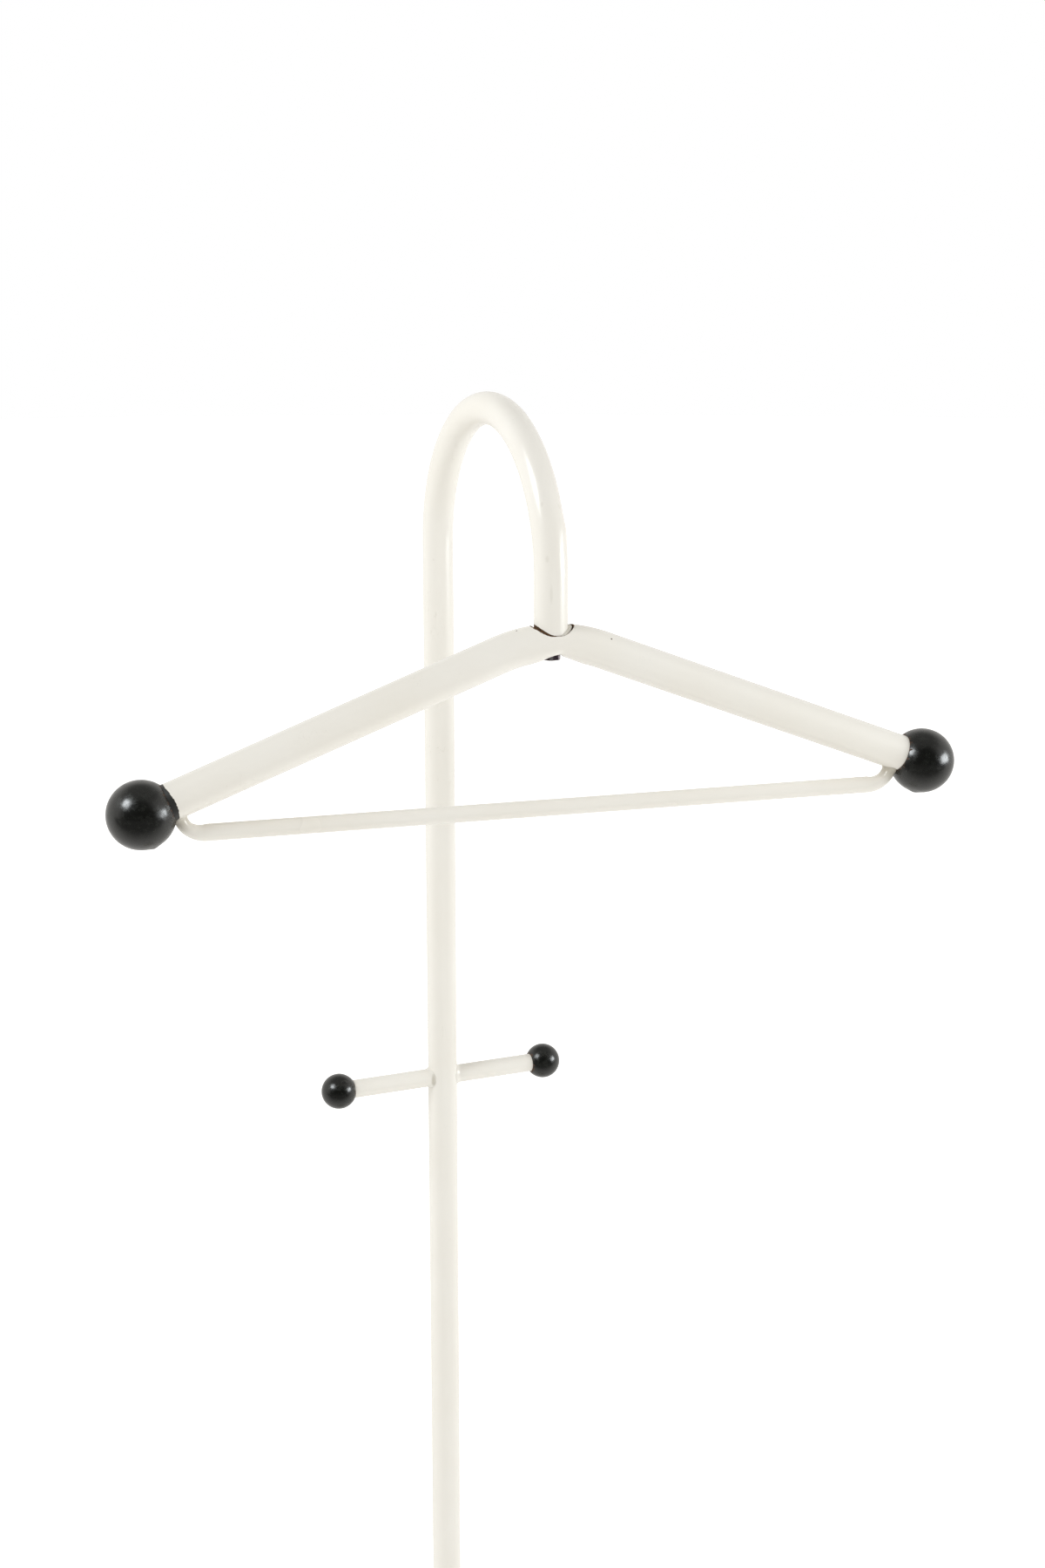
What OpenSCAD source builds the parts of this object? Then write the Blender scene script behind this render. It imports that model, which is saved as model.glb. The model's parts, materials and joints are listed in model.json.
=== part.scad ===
// Valet stand. One steel tube makes the column, the arch over the top and the hook that comes
// down in front. A clothes hanger swivels on the hook's end, held from below by a bolt. A short
// peg crosses the column, and the column is screwed to a round steel foot. Every free end is
// capped by a lacquered wooden ball.
//
// Frame: the origin is the centre of the foot pad's underside, on the column's axis. +Z is up,
// the peg lies along X, and the hook comes down on the -Y side.

/* [Column] */
// Outside diameter of the tube that makes the column, the arch and the hook
column_d = 18; // [16:0.5:24]
// Wall of the column tube
column_wall = 1.5; // [1:0.1:2.5]
// Height of the hanger's middle above the floor
hanger_h = 1000; // [850:5:1200]
// Distance from the column to the hook, centre to centre
hook_reach = 165; // [130:1:220]
// Height of the hook's straight end, from the hanger's middle up to the arch
hook_rise = 33.5; // [25:0.2:80]

/* [Hanger] */
// How much wider the hanger tube is than the column tube
hanger_over = 2; // [1.6:0.1:5]
// Wall of the hanger tube
hanger_wall = 1.5; // [1:0.1:2.5]
// Level distance from the pivot to the centre of a shoulder ball
shoulder_x = 217.3; // [180:0.1:250]
// Slope of the shoulders, down from level
slope = 21; // [14:0.5:26]
// Radius of the bend in the middle, at the tube's centre line
bend_r = 79; // [60:1:110]
// How far the inside of the bend is pressed in by the bending former
pinch = 3.5; // [2.5:0.1:4]
// Length of tube that is pressed in
pinch_len = 36; // [28:1:48]
// Distance from the pivot to the deepest point of the press mark
pinch_x = 4; // [0:0.5:6]
// How far the pressed bend swells to the front and to the back
swell = 0.7; // [0:0.1:1.5]
// Angle that the hanger is left turned to, anticlockwise from above
hanger_turn = -6.7; // [-45:0.1:45]

/* [Shoulder balls] */
// Diameter of the shoulder balls
ball_d = 36; // [30:0.5:48]
// How far the hanger tube reaches past a ball's centre
ball_grip = 4; // [0:0.5:8]

/* [Trouser bar] */
// Diameter of the trouser bar
bar_d = 9; // [6:0.2:12]
// Distance from the hanger's middle down to the trouser bar
bar_drop = 88.8; // [84:0.2:110]
// Radius of the bends at the bar's ends, at the centre line
bar_bend_r = 13; // [8:0.5:16]
// Level distance from a ball's surface back to where the bar starts to bend up
bar_end_gap = 14.8; // [12:0.2:40]

/* [Peg] */
// Diameter of the peg that crosses the column
peg_d = 11; // [8:0.5:12]
// Distance between the centres of the peg's two balls
peg_span = 134.4; // [80:0.2:240]
// Distance from the hanger's middle down to the peg
peg_drop = 300; // [150:5:500]
// Diameter of the peg's balls
peg_ball_d = 20.4; // [16:0.2:30]
// How far the peg reaches past a ball's centre
peg_grip = 3; // [0:0.5:5]

/* [Pivot] */
// Thread size of the pivot bolt
bolt_d = 6; // [5:1:8]
// Width of the pivot bolt's head across its flats
bolt_flats = 10; // [8:0.5:11]
// Height of the pivot bolt's head
bolt_head_h = 3.2; // [2.5:0.1:4]
// How far inside the flats the round face on the bolt's head ends
bolt_edge = 0.3; // [0.2:0.1:0.6]
// Chamfer at the tip of the pivot bolt
bolt_chamfer = 0.8; // [0.4:0.1:1.2]
// Angle that the bolt's head is turned to
bolt_turn = 8.3; // [0:0.1:60]
// Diameter of the washer under the bolt's head
washer_d = 12; // [10:0.5:14]
// Thickness of that washer
washer_t = 0.8; // [0.5:0.1:1.2]
// Diameter of the steel boss inside the bend, which turns on the pivot bolt
boss_d = 13.8; // [12.8:0.1:14.6]
// How far up into the press mark the boss's lower face lies
seat_depth = 1.7; // [1.4:0.1:2.5]
// Height of the boss's upper face above the tube's centre line
boss_top = 0.5; // [0:0.1:1.5]
// Thickness of the nylon glide between the boss and the hook's end
glide_t = 1; // [0.6:0.1:2]
// How much longer than wide the slot in the hanger's top is
slot_extra = 4.2; // [0:0.2:10]
// Distance from the pivot to the middle of that slot
slot_x = 0.7; // [0:0.1:2]
// Length of the threaded plug in the hook's end
plug_len = 16; // [10:1:24]

/* [Foot] */
// Diameter of the round foot
base_d = 320; // [260:5:400]
// Thickness of the foot plate
base_t = 8; // [6.5:0.5:14]
// Radius of the foot plate's upper edge
base_round = 4; // [1:0.5:6]
// Thickness of the felt pad under the foot
pad_t = 2; // [1:0.5:5]
// Distance from the foot's edge in to the pad's edge
pad_inset = 4; // [0:1:20]
// Wall of the collar that the column stands in
collar_wall = 6; // [3:0.5:12]
// Height of the collar
collar_h = 18; // [10:1:40]
// Radius of the collar's upper edge
collar_round = 3.6; // [1:0.1:5]
// Thread size of the foot screw
screw_d = 8; // [6:1:10]
// Diameter of the foot screw's countersunk head
screw_head_d = 16; // [12:0.5:20]
// Width of the hexagon socket in the foot screw
socket_w = 5; // [4:0.5:6]
// Depth of that socket
socket_deep = 2.8; // [2:0.1:3.6]
// Length of the threaded plug in the column's foot
foot_plug_len = 26; // [16:1:40]

/* [Fits] */
// Gap round what turns: the bolt in its hole, and the washer and glide on their faces
run_gap = 0.05; // [0.02:0.01:0.1]
// Gap round what is glued, welded or pushed together
fit_gap = 0.05; // [0.02:0.01:0.2]
// Gap between the hook and the sides of the slot in the hanger
hook_gap = 0.3; // [0.2:0.05:0.4]
// Gap between the trouser bar and the hollow cut for it in a shoulder ball
relief_gap = 0.2; // [0.1:0.05:0.5]

/* [Hidden] */

$fn = 96;

// Colours
enamel = "#EBE8DF";
black_lacquer = "#232322";
dark_steel = "#3B3733";
bright_steel = "#A9ABAD";
nylon = "#D9D6CC";
felt = "#4A4A48";

// Column
column_r = column_d / 2;
column_bore_r = column_r - column_wall;
arch_r = hook_reach / 2;
arch_z = hanger_h + hook_rise;
plate_top = pad_t + base_t;
peg_z = hanger_h - peg_drop;

// Hanger, in its own frame: the pivot's axis is Z, and the tube's centre line is at z = 0 there
hanger_r = column_r + hanger_over / 2;
hanger_bore_r = hanger_r - hanger_wall;
arm_x = bend_r * sin(slope);
arm_z = -bend_r * (1 - cos(slope));
arm_len = (shoulder_x - arm_x) / cos(slope);
ball_z = arm_z - arm_len * sin(slope);

// Press mark on the inside of the bend: its middle and half length as angles of the bend, and
// how steeply it fades out (1 is straight, more is hollow)
pinch_mid = asin(pinch_x / bend_r);
pinch_half = pinch_len / 2 / bend_r * 180 / PI;
pinch_fade = 1.6;

// The bend's surface has this many steps along it and round it
bend_steps = 14;
ring_steps = 40;

// Pivot, from the bolt's head upwards
seat_z = -(hanger_r - pinch - seat_depth);
washer_z = seat_z - run_gap - washer_t;
hook_end = boss_top + glide_t + run_gap;
slot_r = column_r + hook_gap;
bolt_len = hook_end - washer_z + plug_len - bolt_d / 2;

// Trouser bar, in the hanger's own frame
bar_z = -bar_drop;
bar_half = shoulder_x - ball_d / 2 - bar_end_gap;

// Foot screw
screw_head_h = (screw_head_d - screw_d) / 2;
screw_len = base_t + foot_plug_len - screw_d / 2;

// Cutters run this far past what they cut, and joined pieces lap by this much
past = 1;

// ---- Shared shapes ----

// Puts the hanger's own frame on the hook
module on_hook() {
    translate([0, -hook_reach, hanger_h]) rotate([0, 0, hanger_turn]) children();
}

module mirrored_too() {
    children();
    mirror([1, 0, 0]) children();
}

// The centre line of the column tube, swept with a round section: the arch, and a straight leg
// down from each of its ends. extra lengthens both legs.
module column_path(r, extra = 0) {
    translate([0, -arch_r, arch_z]) rotate([90, 0, 90]) rotate_extrude(angle = 180)
        translate([arch_r, 0]) circle(r = r);
    translate([0, 0, arch_z]) rotate([180, 0, 0])
        cylinder(r = r, h = arch_z - plate_top + extra);
    translate([0, -hook_reach, arch_z]) rotate([180, 0, 0])
        cylinder(r = r, h = hook_rise - hook_end + extra);
}

// The right-hand shoulder, from the end of the bend to past the ball's centre
module shoulder(r, extra = 0) {
    translate([arm_x, 0, arm_z]) rotate([0, 90 + slope, 0]) translate([0, 0, -past])
        cylinder(r = r, h = past + arm_len + ball_grip + extra);
}

// How far the bend's inner side is pushed in, at an angle from the pivot
function press_at(angle) =
    let (away = abs(angle - pinch_mid) / pinch_half)
    away < 1 ? pinch * pow(1 - away, pinch_fade) : 0;

// How far the bend is swollen to the front and to the back, at an angle from the pivot
function swell_at(angle) = swell * pow(1 - pow(angle / slope, 2), 2);

// A point of the bend's surface: angle from the pivot, then angle round the section
function bend_point(angle, turn, r) =
    let (height = (sin(turn) < 0 ? r - press_at(angle) : r) * sin(turn))
    [(bend_r + height) * sin(angle), (r + swell_at(angle)) * cos(turn),
        (bend_r + height) * cos(angle) - bend_r];

// The bend from shoulder to shoulder. Its lower half is squashed where the former pressed it.
module pressed_bend(r) {
    function at(i, j) = i * ring_steps + j % ring_steps;
    polyhedron(
        points = [for (i = [0 : bend_steps], j = [0 : ring_steps - 1])
            bend_point(slope * (2 * i / bend_steps - 1), 360 * j / ring_steps, r)],
        faces = concat(
            [for (i = [0 : bend_steps - 1], j = [0 : ring_steps - 1])
                [at(i, j), at(i + 1, j), at(i, j + 1)]],
            [for (i = [0 : bend_steps - 1], j = [0 : ring_steps - 1])
                [at(i, j + 1), at(i + 1, j), at(i + 1, j + 1)]],
            [[for (j = [0 : ring_steps - 1]) at(0, j)]],
            [[for (j = [ring_steps - 1 : -1 : 0]) at(bend_steps, j)]]
        )
    );
}

// Upright slot with round ends, from z up
module slot(z) {
    translate([slot_x, 0, z]) {
        for (x = [-slot_extra / 2, slot_extra / 2]) translate([x, 0, 0])
            cylinder(r = slot_r, h = 2 * hanger_r);
        translate([-slot_extra / 2, -slot_r, 0]) cube([slot_extra, 2 * slot_r, 2 * hanger_r]);
    }
}

// Right-hand half of the trouser bar, from the middle up into the shoulder
module half_bar(r) {
    translate([0, 0, bar_z]) rotate([0, 90, 0]) cylinder(r = r, h = bar_half);
    translate([bar_half, 0, bar_z + bar_bend_r]) rotate([90, 0, 0]) rotate([0, 0, -90])
        rotate_extrude(angle = 90 + slope) translate([bar_bend_r, 0]) circle(r = r);
}

// Ball on a rod that comes from -X and ends grip past the ball's centre
module capped_ball(d, rod_r, grip) {
    rotate([0, 90, 0]) rotate_extrude() difference() {
        circle(d = d);
        translate([-d, -d]) square([d, 2 * d]);
        translate([-past, -d]) square([past + rod_r + fit_gap, d + grip]);
    }
}

module shoulder_ball() {
    difference() {
        translate([shoulder_x, 0, ball_z]) rotate([0, slope, 0])
            capped_ball(ball_d, hanger_r, ball_grip);
        half_bar(bar_d / 2 + relief_gap);
    }
}

// Plug with a threaded hole, standing on z = 0
module threaded_plug(len, hole_d) {
    difference() {
        cylinder(r = column_bore_r - fit_gap, h = len);
        translate([0, 0, -past]) cylinder(d = hole_d + 2 * fit_gap, h = len + 2 * past);
    }
}

// ---- Stand ----

module column_tube() {
    color(enamel) difference() {
        column_path(column_r);
        column_path(column_bore_r, past);
        translate([-column_d, 0, peg_z]) rotate([0, 90, 0])
            cylinder(r = peg_d / 2 + fit_gap, h = 2 * column_d);
    }
}

module hook_plug() {
    color(bright_steel) translate([0, -hook_reach, hanger_h + hook_end])
        threaded_plug(plug_len, bolt_d);
}

module pivot_bolt() {
    corner_r = bolt_flats / 2 / cos(30);
    face_r = bolt_flats / 2 - bolt_edge;
    cone_r = corner_r + past;
    shank = bolt_len - bolt_chamfer;
    color(dark_steel) translate([0, -hook_reach, hanger_h + washer_z]) {
        intersection() {
            translate([0, 0, -bolt_head_h]) rotate([0, 0, bolt_turn])
                cylinder(r = corner_r, h = bolt_head_h, $fn = 6);
            rotate_extrude() polygon([
                [0, -bolt_head_h], [face_r, -bolt_head_h],
                [cone_r, -bolt_head_h + (cone_r - face_r) * tan(30)], [cone_r, 0], [0, 0]
            ]);
        }
        cylinder(d = bolt_d, h = shank);
        translate([0, 0, shank])
            cylinder(r1 = bolt_d / 2, r2 = bolt_d / 2 - bolt_chamfer, h = bolt_chamfer);
    }
}

module pivot_washer() {
    color(bright_steel) translate([0, -hook_reach, hanger_h + washer_z]) difference() {
        cylinder(d = washer_d, h = washer_t);
        translate([0, 0, -past]) cylinder(d = bolt_d + 2 * fit_gap, h = washer_t + 2 * past);
    }
}

module peg_rod() {
    reach = peg_span / 2 + peg_grip;
    color(enamel) translate([-reach, 0, peg_z]) rotate([0, 90, 0])
        cylinder(d = peg_d, h = 2 * reach);
}

module peg_ball_right() {
    color(black_lacquer) translate([peg_span / 2, 0, peg_z])
        capped_ball(peg_ball_d, peg_d / 2, peg_grip);
}

module peg_ball_left() {
    mirror([1, 0, 0]) peg_ball_right();
}

module base_plate() {
    color(enamel) translate([0, 0, pad_t]) difference() {
        rotate_extrude() {
            square([base_d / 2 - base_round, base_t]);
            square([base_d / 2, base_t - base_round]);
            translate([base_d / 2 - base_round, base_t - base_round]) circle(r = base_round);
        }
        translate([0, 0, -past]) cylinder(d = screw_d + 2 * fit_gap, h = base_t + 2 * past);
        translate([0, 0, -past]) cylinder(
            r1 = screw_head_d / 2 + fit_gap + past, r2 = screw_d / 2 + fit_gap, h = screw_head_h + past
        );
    }
}

module foot_screw() {
    color(bright_steel) translate([0, 0, pad_t]) difference() {
        union() {
            cylinder(r1 = screw_head_d / 2, r2 = screw_d / 2, h = screw_head_h);
            cylinder(d = screw_d, h = screw_len);
        }
        translate([0, 0, -past]) cylinder(d = socket_w / cos(30), h = past + socket_deep, $fn = 6);
    }
}

module foot_collar() {
    bore_r = column_r + fit_gap;
    outer_r = bore_r + collar_wall;
    color(enamel) translate([0, 0, plate_top]) rotate_extrude() difference() {
        union() {
            square([outer_r, collar_h - collar_round]);
            square([outer_r - collar_round, collar_h]);
            translate([outer_r - collar_round, collar_h - collar_round]) circle(r = collar_round);
        }
        translate([-past, -past]) square([bore_r + past, collar_h + 2 * past]);
    }
}

module foot_plug() {
    color(bright_steel) translate([0, 0, plate_top]) threaded_plug(foot_plug_len, screw_d);
}

module foot_pad() {
    color(felt) cylinder(d = base_d - 2 * pad_inset, h = pad_t);
}

// ---- Hanger ----

module hanger_tube() {
    color(enamel) on_hook() difference() {
        union() {
            mirrored_too() shoulder(hanger_r);
            pressed_bend(hanger_r - fit_gap);
        }
        mirrored_too() shoulder(hanger_bore_r, past);
        pressed_bend(hanger_bore_r - fit_gap);
        slot(boss_top);
        translate([0, 0, -hanger_r]) cylinder(r = boss_d / 2 + fit_gap, h = hanger_r + boss_top);
    }
}

module hanger_boss() {
    color(bright_steel) on_hook() translate([0, 0, seat_z]) difference() {
        cylinder(d = boss_d, h = boss_top - seat_z);
        translate([0, 0, -past])
            cylinder(r = bolt_d / 2 + run_gap, h = boss_top - seat_z + 2 * past);
    }
}

module hanger_glide() {
    color(nylon) on_hook() translate([0, 0, boss_top]) difference() {
        cylinder(r = column_r - fit_gap, h = glide_t);
        translate([0, 0, -past]) cylinder(r = bolt_d / 2 + hook_gap, h = glide_t + 2 * past);
    }
}

module trouser_bar() {
    color(enamel) on_hook() difference() {
        mirrored_too() half_bar(bar_d / 2);
        mirrored_too() shoulder(hanger_r);
    }
}

module shoulder_ball_right() {
    color(black_lacquer) on_hook() shoulder_ball();
}

module shoulder_ball_left() {
    color(black_lacquer) on_hook() mirror([1, 0, 0]) shoulder_ball();
}

column_tube();
hook_plug();
pivot_bolt();
pivot_washer();
peg_rod();
peg_ball_left();
peg_ball_right();
base_plate();
foot_collar();
foot_plug();
foot_screw();
foot_pad();
hanger_tube();
hanger_boss();
hanger_glide();
trouser_bar();
shoulder_ball_left();
shoulder_ball_right();
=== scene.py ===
# %% [markdown]
# # Valet stand of enamelled steel tube
# The stand is one bent tube: column, arch and hook. A tubular coat hanger swivels on the hook's
# end, a short peg crosses the column, black lacquered wooden balls close every free end, and a
# round steel foot carries it all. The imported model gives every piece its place. This lesson
# dresses it: smooth bent tubes, weld fillets, a rusty slot, chipped paint and worn lacquer.

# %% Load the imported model
import json
from math import asin, atan2, cos, degrees, hypot, pi, radians, sin

import bmesh
import bpy
from mathutils import Matrix, Vector, noise


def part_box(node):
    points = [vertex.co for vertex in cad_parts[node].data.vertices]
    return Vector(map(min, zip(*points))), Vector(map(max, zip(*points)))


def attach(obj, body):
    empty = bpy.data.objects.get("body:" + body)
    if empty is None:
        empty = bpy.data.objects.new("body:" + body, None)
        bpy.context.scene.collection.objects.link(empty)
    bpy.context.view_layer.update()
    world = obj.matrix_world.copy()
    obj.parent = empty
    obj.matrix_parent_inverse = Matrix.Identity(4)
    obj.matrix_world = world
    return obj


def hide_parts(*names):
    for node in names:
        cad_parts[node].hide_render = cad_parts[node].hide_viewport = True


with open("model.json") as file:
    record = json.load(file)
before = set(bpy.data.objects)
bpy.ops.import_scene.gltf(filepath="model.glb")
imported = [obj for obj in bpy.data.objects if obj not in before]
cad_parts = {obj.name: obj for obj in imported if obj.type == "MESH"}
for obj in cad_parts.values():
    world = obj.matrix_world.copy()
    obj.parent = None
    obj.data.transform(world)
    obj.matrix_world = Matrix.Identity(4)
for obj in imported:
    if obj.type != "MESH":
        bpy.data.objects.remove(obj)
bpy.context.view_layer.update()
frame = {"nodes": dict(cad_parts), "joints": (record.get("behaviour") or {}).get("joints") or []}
MM = 0.001
print("CAD nodes:", len(frame["nodes"]))

# %% [markdown]
# ## Sizes
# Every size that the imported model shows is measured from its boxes, so a piece lands where the
# construction wants it. The few that a box can't show, such as a wall or a bend, are named. The
# hanger has a frame of its own: the pivot's axis is Z, and the arms lie over X.

# %% Sizes of the stand
column_low, column_high = (Vector(corner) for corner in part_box("column_tube"))
COLUMN_R = (column_high.x - column_low.x) / 2
COLUMN_WALL = 1.5 * MM
HOOK_Y = column_low.y + COLUMN_R
ARCH_R = -HOOK_Y / 2
ARCH_Z = column_high.z - COLUMN_R - ARCH_R
HOOK_END_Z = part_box("hook_plug")[0][2]
PLATE_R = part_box("base_plate")[1][0]
PLATE_LOW_Z, PLATE_TOP_Z = (corner[2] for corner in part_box("base_plate"))
PEG_END_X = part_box("peg_rod")[1][0]
PEG_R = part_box("peg_rod")[1][1]
PEG_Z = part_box("peg_rod")[1][2] - PEG_R
print(f"column radius {COLUMN_R / MM:.1f} mm, arch radius {ARCH_R / MM:.1f} mm, peg at {PEG_Z / MM:.0f} mm")

# %% Sizes of the hanger
PIVOT = Vector(frame["joints"][0]["pos_m"])
ball_low, ball_high = (Vector(corner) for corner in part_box("shoulder_ball_right"))
BALL_R = (ball_high.y - ball_low.y) / 2
ball_centre = Vector((ball_high.x - BALL_R, (ball_low.y + ball_high.y) / 2, ball_high.z - BALL_R))
HANGER_TURN = atan2(ball_centre.y - PIVOT.y, ball_centre.x - PIVOT.x)
BALL_X = hypot(ball_centre.x - PIVOT.x, ball_centre.y - PIVOT.y)
BALL_Z = ball_centre.z - PIVOT.z
HANGER_R = 10 * MM
HANGER_WALL = 1.5 * MM
BEND_R = 79 * MM
SLOPE = radians(21)
ARM_X = BEND_R * sin(SLOPE)
ARM_Z = -BEND_R * (1 - cos(SLOPE))
ARM_LEN = (BALL_X - ARM_X) / cos(SLOPE)
BALL_GRIP = 4 * MM
print(f"hanger turned {degrees(HANGER_TURN):.1f} degrees, ball at {BALL_X / MM:.1f}, {BALL_Z / MM:.1f} mm")


def on_hook(x, y, z):
    """A point of the hanger's own frame, placed on the hook."""
    return PIVOT + Matrix.Rotation(HANGER_TURN, 3, "Z") @ Vector((x, y, z))


# %% [markdown]
# ## Colours and nodes
# A shader is a small network, and writing one out by hand is mostly repetition. One function adds
# any node with its settings and links. Colours are written as the hex values that a paint chart
# gives, and a second function turns them into the linear light that Blender counts in.

# %% Colour and node helpers
def linear(hex_colour):
    """sRGB hex to the linear RGBA that a shader wants."""
    channels = [int(hex_colour[i:i + 2], 16) / 255 for i in (1, 3, 5)]
    return [c / 12.92 if c <= 0.04045 else ((c + 0.055) / 1.055) ** 2.4 for c in channels] + [1.0]


def add(tree, kind, inputs=(), stops=(), **settings):
    """Adds a shader node: its settings, its inputs and its ramp's stops. Inputs go by name, or in the
    sockets' order. Each is a value, a hex colour, an output, or a node, whose first output is linked."""
    made = tree.nodes.new("ShaderNode" + kind)
    for name, value in settings.items():
        setattr(made, name, value)
    for socket, value in (inputs if isinstance(inputs, dict) else dict(enumerate(inputs))).items():
        if isinstance(value, bpy.types.Node):
            value = next(output for output in value.outputs if output.enabled)
        if isinstance(value, bpy.types.NodeSocket):
            tree.links.new(value, made.inputs[socket])
        else:
            made.inputs[socket].default_value = linear(value) if isinstance(value, str) else value
    while stops and len(made.color_ramp.elements) < len(stops):
        made.color_ramp.elements.new(0.5)
    for element, (spot, colour) in zip(made.color_ramp.elements if stops else (), stops):
        element.position = spot
        if isinstance(colour, (int, float)):
            colour = [colour] * 3 + [1]
        element.color = linear(colour) if isinstance(colour, str) else colour
    return made


def new_material(name):
    """An empty material, its node tree, and the Object coordinates that its patterns read."""
    material = bpy.data.materials.new(name)
    material.use_nodes = True
    material.node_tree.nodes.clear()
    return material, material.node_tree, add(material.node_tree, "TexCoord").outputs["Object"]


print("mid grey in linear light:", round(linear("#808080")[0], 3))

# %% [markdown]
# ## Stove enamel
# The tubes are steel, sprayed with an off-white stove enamel and baked. Baked enamel is a hard,
# glossy paint film: its edge mirrors the room sharply, and its body is an even warm white. It
# could be one flat colour, but age shows on the real one as faint yellowing in soft clouds,
# hairline grey scratches, smudges and small chips through to brown steel, and painted shade sits
# in the corners. So each is a pattern of its own, worked out in millimetres from the piece's coordinates.

# %% Scratches, grime and painted shade
GRIME_AND_SHADE_TONE = "#A9A18E"
SCRATCH_WIDE = 4 * MM
SCRATCH_LONG = 30 * MM
SCRATCH_STRENGTH = 0.22


def hairlines(tree, place, patches):
    """Hairline scratches: a thin band of a stretched noise, seen only in some patches."""
    across = 1 / SCRATCH_WIDE
    along = add(tree, "Mapping", {"Vector": place, "Scale": (across, across, 1 / SCRATCH_LONG)})
    streak = add(tree, "TexNoise", {"Vector": along, "Scale": 1.0, "Detail": 2, "Distortion": 0.4})
    line = add(tree, "ValToRGB", {"Fac": streak}, stops=[(0.495, 0.0), (0.5, 1.0), (0.505, 0.0)])
    where = add(tree, "MapRange", {"Value": patches, "From Min": 0.62, "From Max": 0.7,
                                   "To Max": SCRATCH_STRENGTH})
    return add(tree, "Math", (line, where), operation="MULTIPLY")


def stained_and_shaded(tree, place, patches, stains_and_shade, dirt_and_shade):
    """Adds soft spots of stain and of painted shade to the mask of grime. Each is x, y, z, radius, height and
    strength, in metres.
    """
    for x, y, z, radius, tall, strength in stains_and_shade:
        squeeze = 2 * radius / tall
        squeezed = add(tree, "VectorMath", (place, (1, 1, squeeze)), operation="MULTIPLY")
        away = add(tree, "VectorMath", (squeezed, (x, y, z * squeeze)), operation="DISTANCE")
        soft = add(tree, "MapRange", {"Value": away, "From Min": radius, "From Max": 0.3 * radius,
                                      "To Max": strength}, interpolation_type="SMOOTHSTEP")
        stain = add(tree, "Math", (soft, patches), operation="MULTIPLY")
        dirt_and_shade = add(tree, "Math", (dirt_and_shade, stain), operation="MAXIMUM")
    return dirt_and_shade


print(f"scratches drift over {SCRATCH_LONG / MM:.0f} mm")

# %% Chips
PIN_CELL = 9 * MM
PIN_LUCK = 0.93
PIN_SIZE = 0.045
KNOCK_WIDE = 1.4


def pinheads(tree, place):
    """Pinhead chips: only the few cells whose random number is high show one, in their middle."""
    cells = add(tree, "TexVoronoi", {"Vector": place, "Scale": 1 / PIN_CELL})
    lucky = add(tree, "Math", (cells.outputs["Color"], PIN_LUCK), operation="GREATER_THAN")
    near = add(tree, "Math", (cells.outputs["Distance"], PIN_SIZE), operation="LESS_THAN")
    return add(tree, "Math", (lucky, near), operation="MULTIPLY")


def knocked(tree, place, ragged, chips, chip_and_shadow):
    """Adds larger knocks with a ragged outline to the chips. Each is x, y, z and radius, in metres."""
    for x, y, z, radius in chips:
        away = add(tree, "VectorMath", (place, (x, y, z)), operation="DISTANCE")
        rough = add(tree, "Math", (ragged, radius, away), operation="MULTIPLY_ADD")
        knock = add(tree, "Math", (rough, KNOCK_WIDE * radius), operation="LESS_THAN")
        chip_and_shadow = add(tree, "Math", (chip_and_shadow, knock), operation="MAXIMUM")
    return chip_and_shadow


print(f"pinheads of {2 * PIN_SIZE * PIN_CELL / MM:.1f} mm")

# %% [markdown]
# ## The enamel put together
# The layers are stacked as they are on the metal: yellowed paint, dirt and painted shade on it,
# chips through it. A chip is brown, matt and a little lower, and the paint round it keeps its
# gloss. The film also has the slight waviness that every sprayed paint has, called orange peel.
# Where lacquer ran on to the enamel, it lies over everything, and its border has a thin brown rim.

# %% Lacquer that ran on to the enamel
LAP_RAGGED = 0.9 * MM
LAP_RIM = 0.42 * MM


def lapped(tree, place, ragged, lap, chip_and_shadow):
    """Where black lacquer lies on the enamel, and the chips with its brown rim added."""
    inside = lap(tree, place)
    black = add(tree, "Math", (inside, 0.0), operation="GREATER_THAN")
    border = add(tree, "Math", (ragged, LAP_RAGGED, inside), operation="MULTIPLY_ADD")
    rim = add(tree, "Math", (border, LAP_RIM), operation="GREATER_THAN")
    return black, add(tree, "Math", (chip_and_shadow, rim), operation="MAXIMUM")


print("a lap's border wanders by", round(LAP_RAGGED / MM, 1), "mm")

# %% Gloss and orange peel
GLOSSY = 0.2
GLOSS_WORN = 0.3
CHIP_MATT = 0.85
LAP_SATIN = 0.45
PEEL = 2.2 * MM
PEEL_STRENGTH = 0.12
PEEL_DEPTH = 0.02 * MM
CHIP_SUNK = -6.0


def film(tree, place, clouds, chip_and_shadow, black):
    """The enamel's roughness and bump. Chips, and the painted shadow line along the slot, are matt and
    sunk by a few heights of the peel, lacquer is satin, and the rest is glossy."""
    painted = add(tree, "Math", (1.0, black), operation="SUBTRACT")
    chip_and_shadow = add(tree, "Math", (chip_and_shadow, painted), operation="MULTIPLY")
    gloss = add(tree, "MapRange", {"Value": clouds, "To Min": GLOSSY, "To Max": GLOSS_WORN})
    roughness = add(tree, "Mix", {"Factor": chip_and_shadow, "A": gloss, "B": CHIP_MATT})
    roughness = add(tree, "Mix", {"Factor": black, "A": roughness, "B": LAP_SATIN})
    peel = add(tree, "TexNoise", {"Vector": place, "Scale": 1 / PEEL, "Detail": 1})
    height = add(tree, "Math", (chip_and_shadow, CHIP_SUNK, peel), operation="MULTIPLY_ADD")
    return roughness, add(tree, "Bump", {"Height": height, "Strength": PEEL_STRENGTH, "Distance": PEEL_DEPTH})


print("orange peel of", round(PEEL / MM, 1), "mm")

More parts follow.
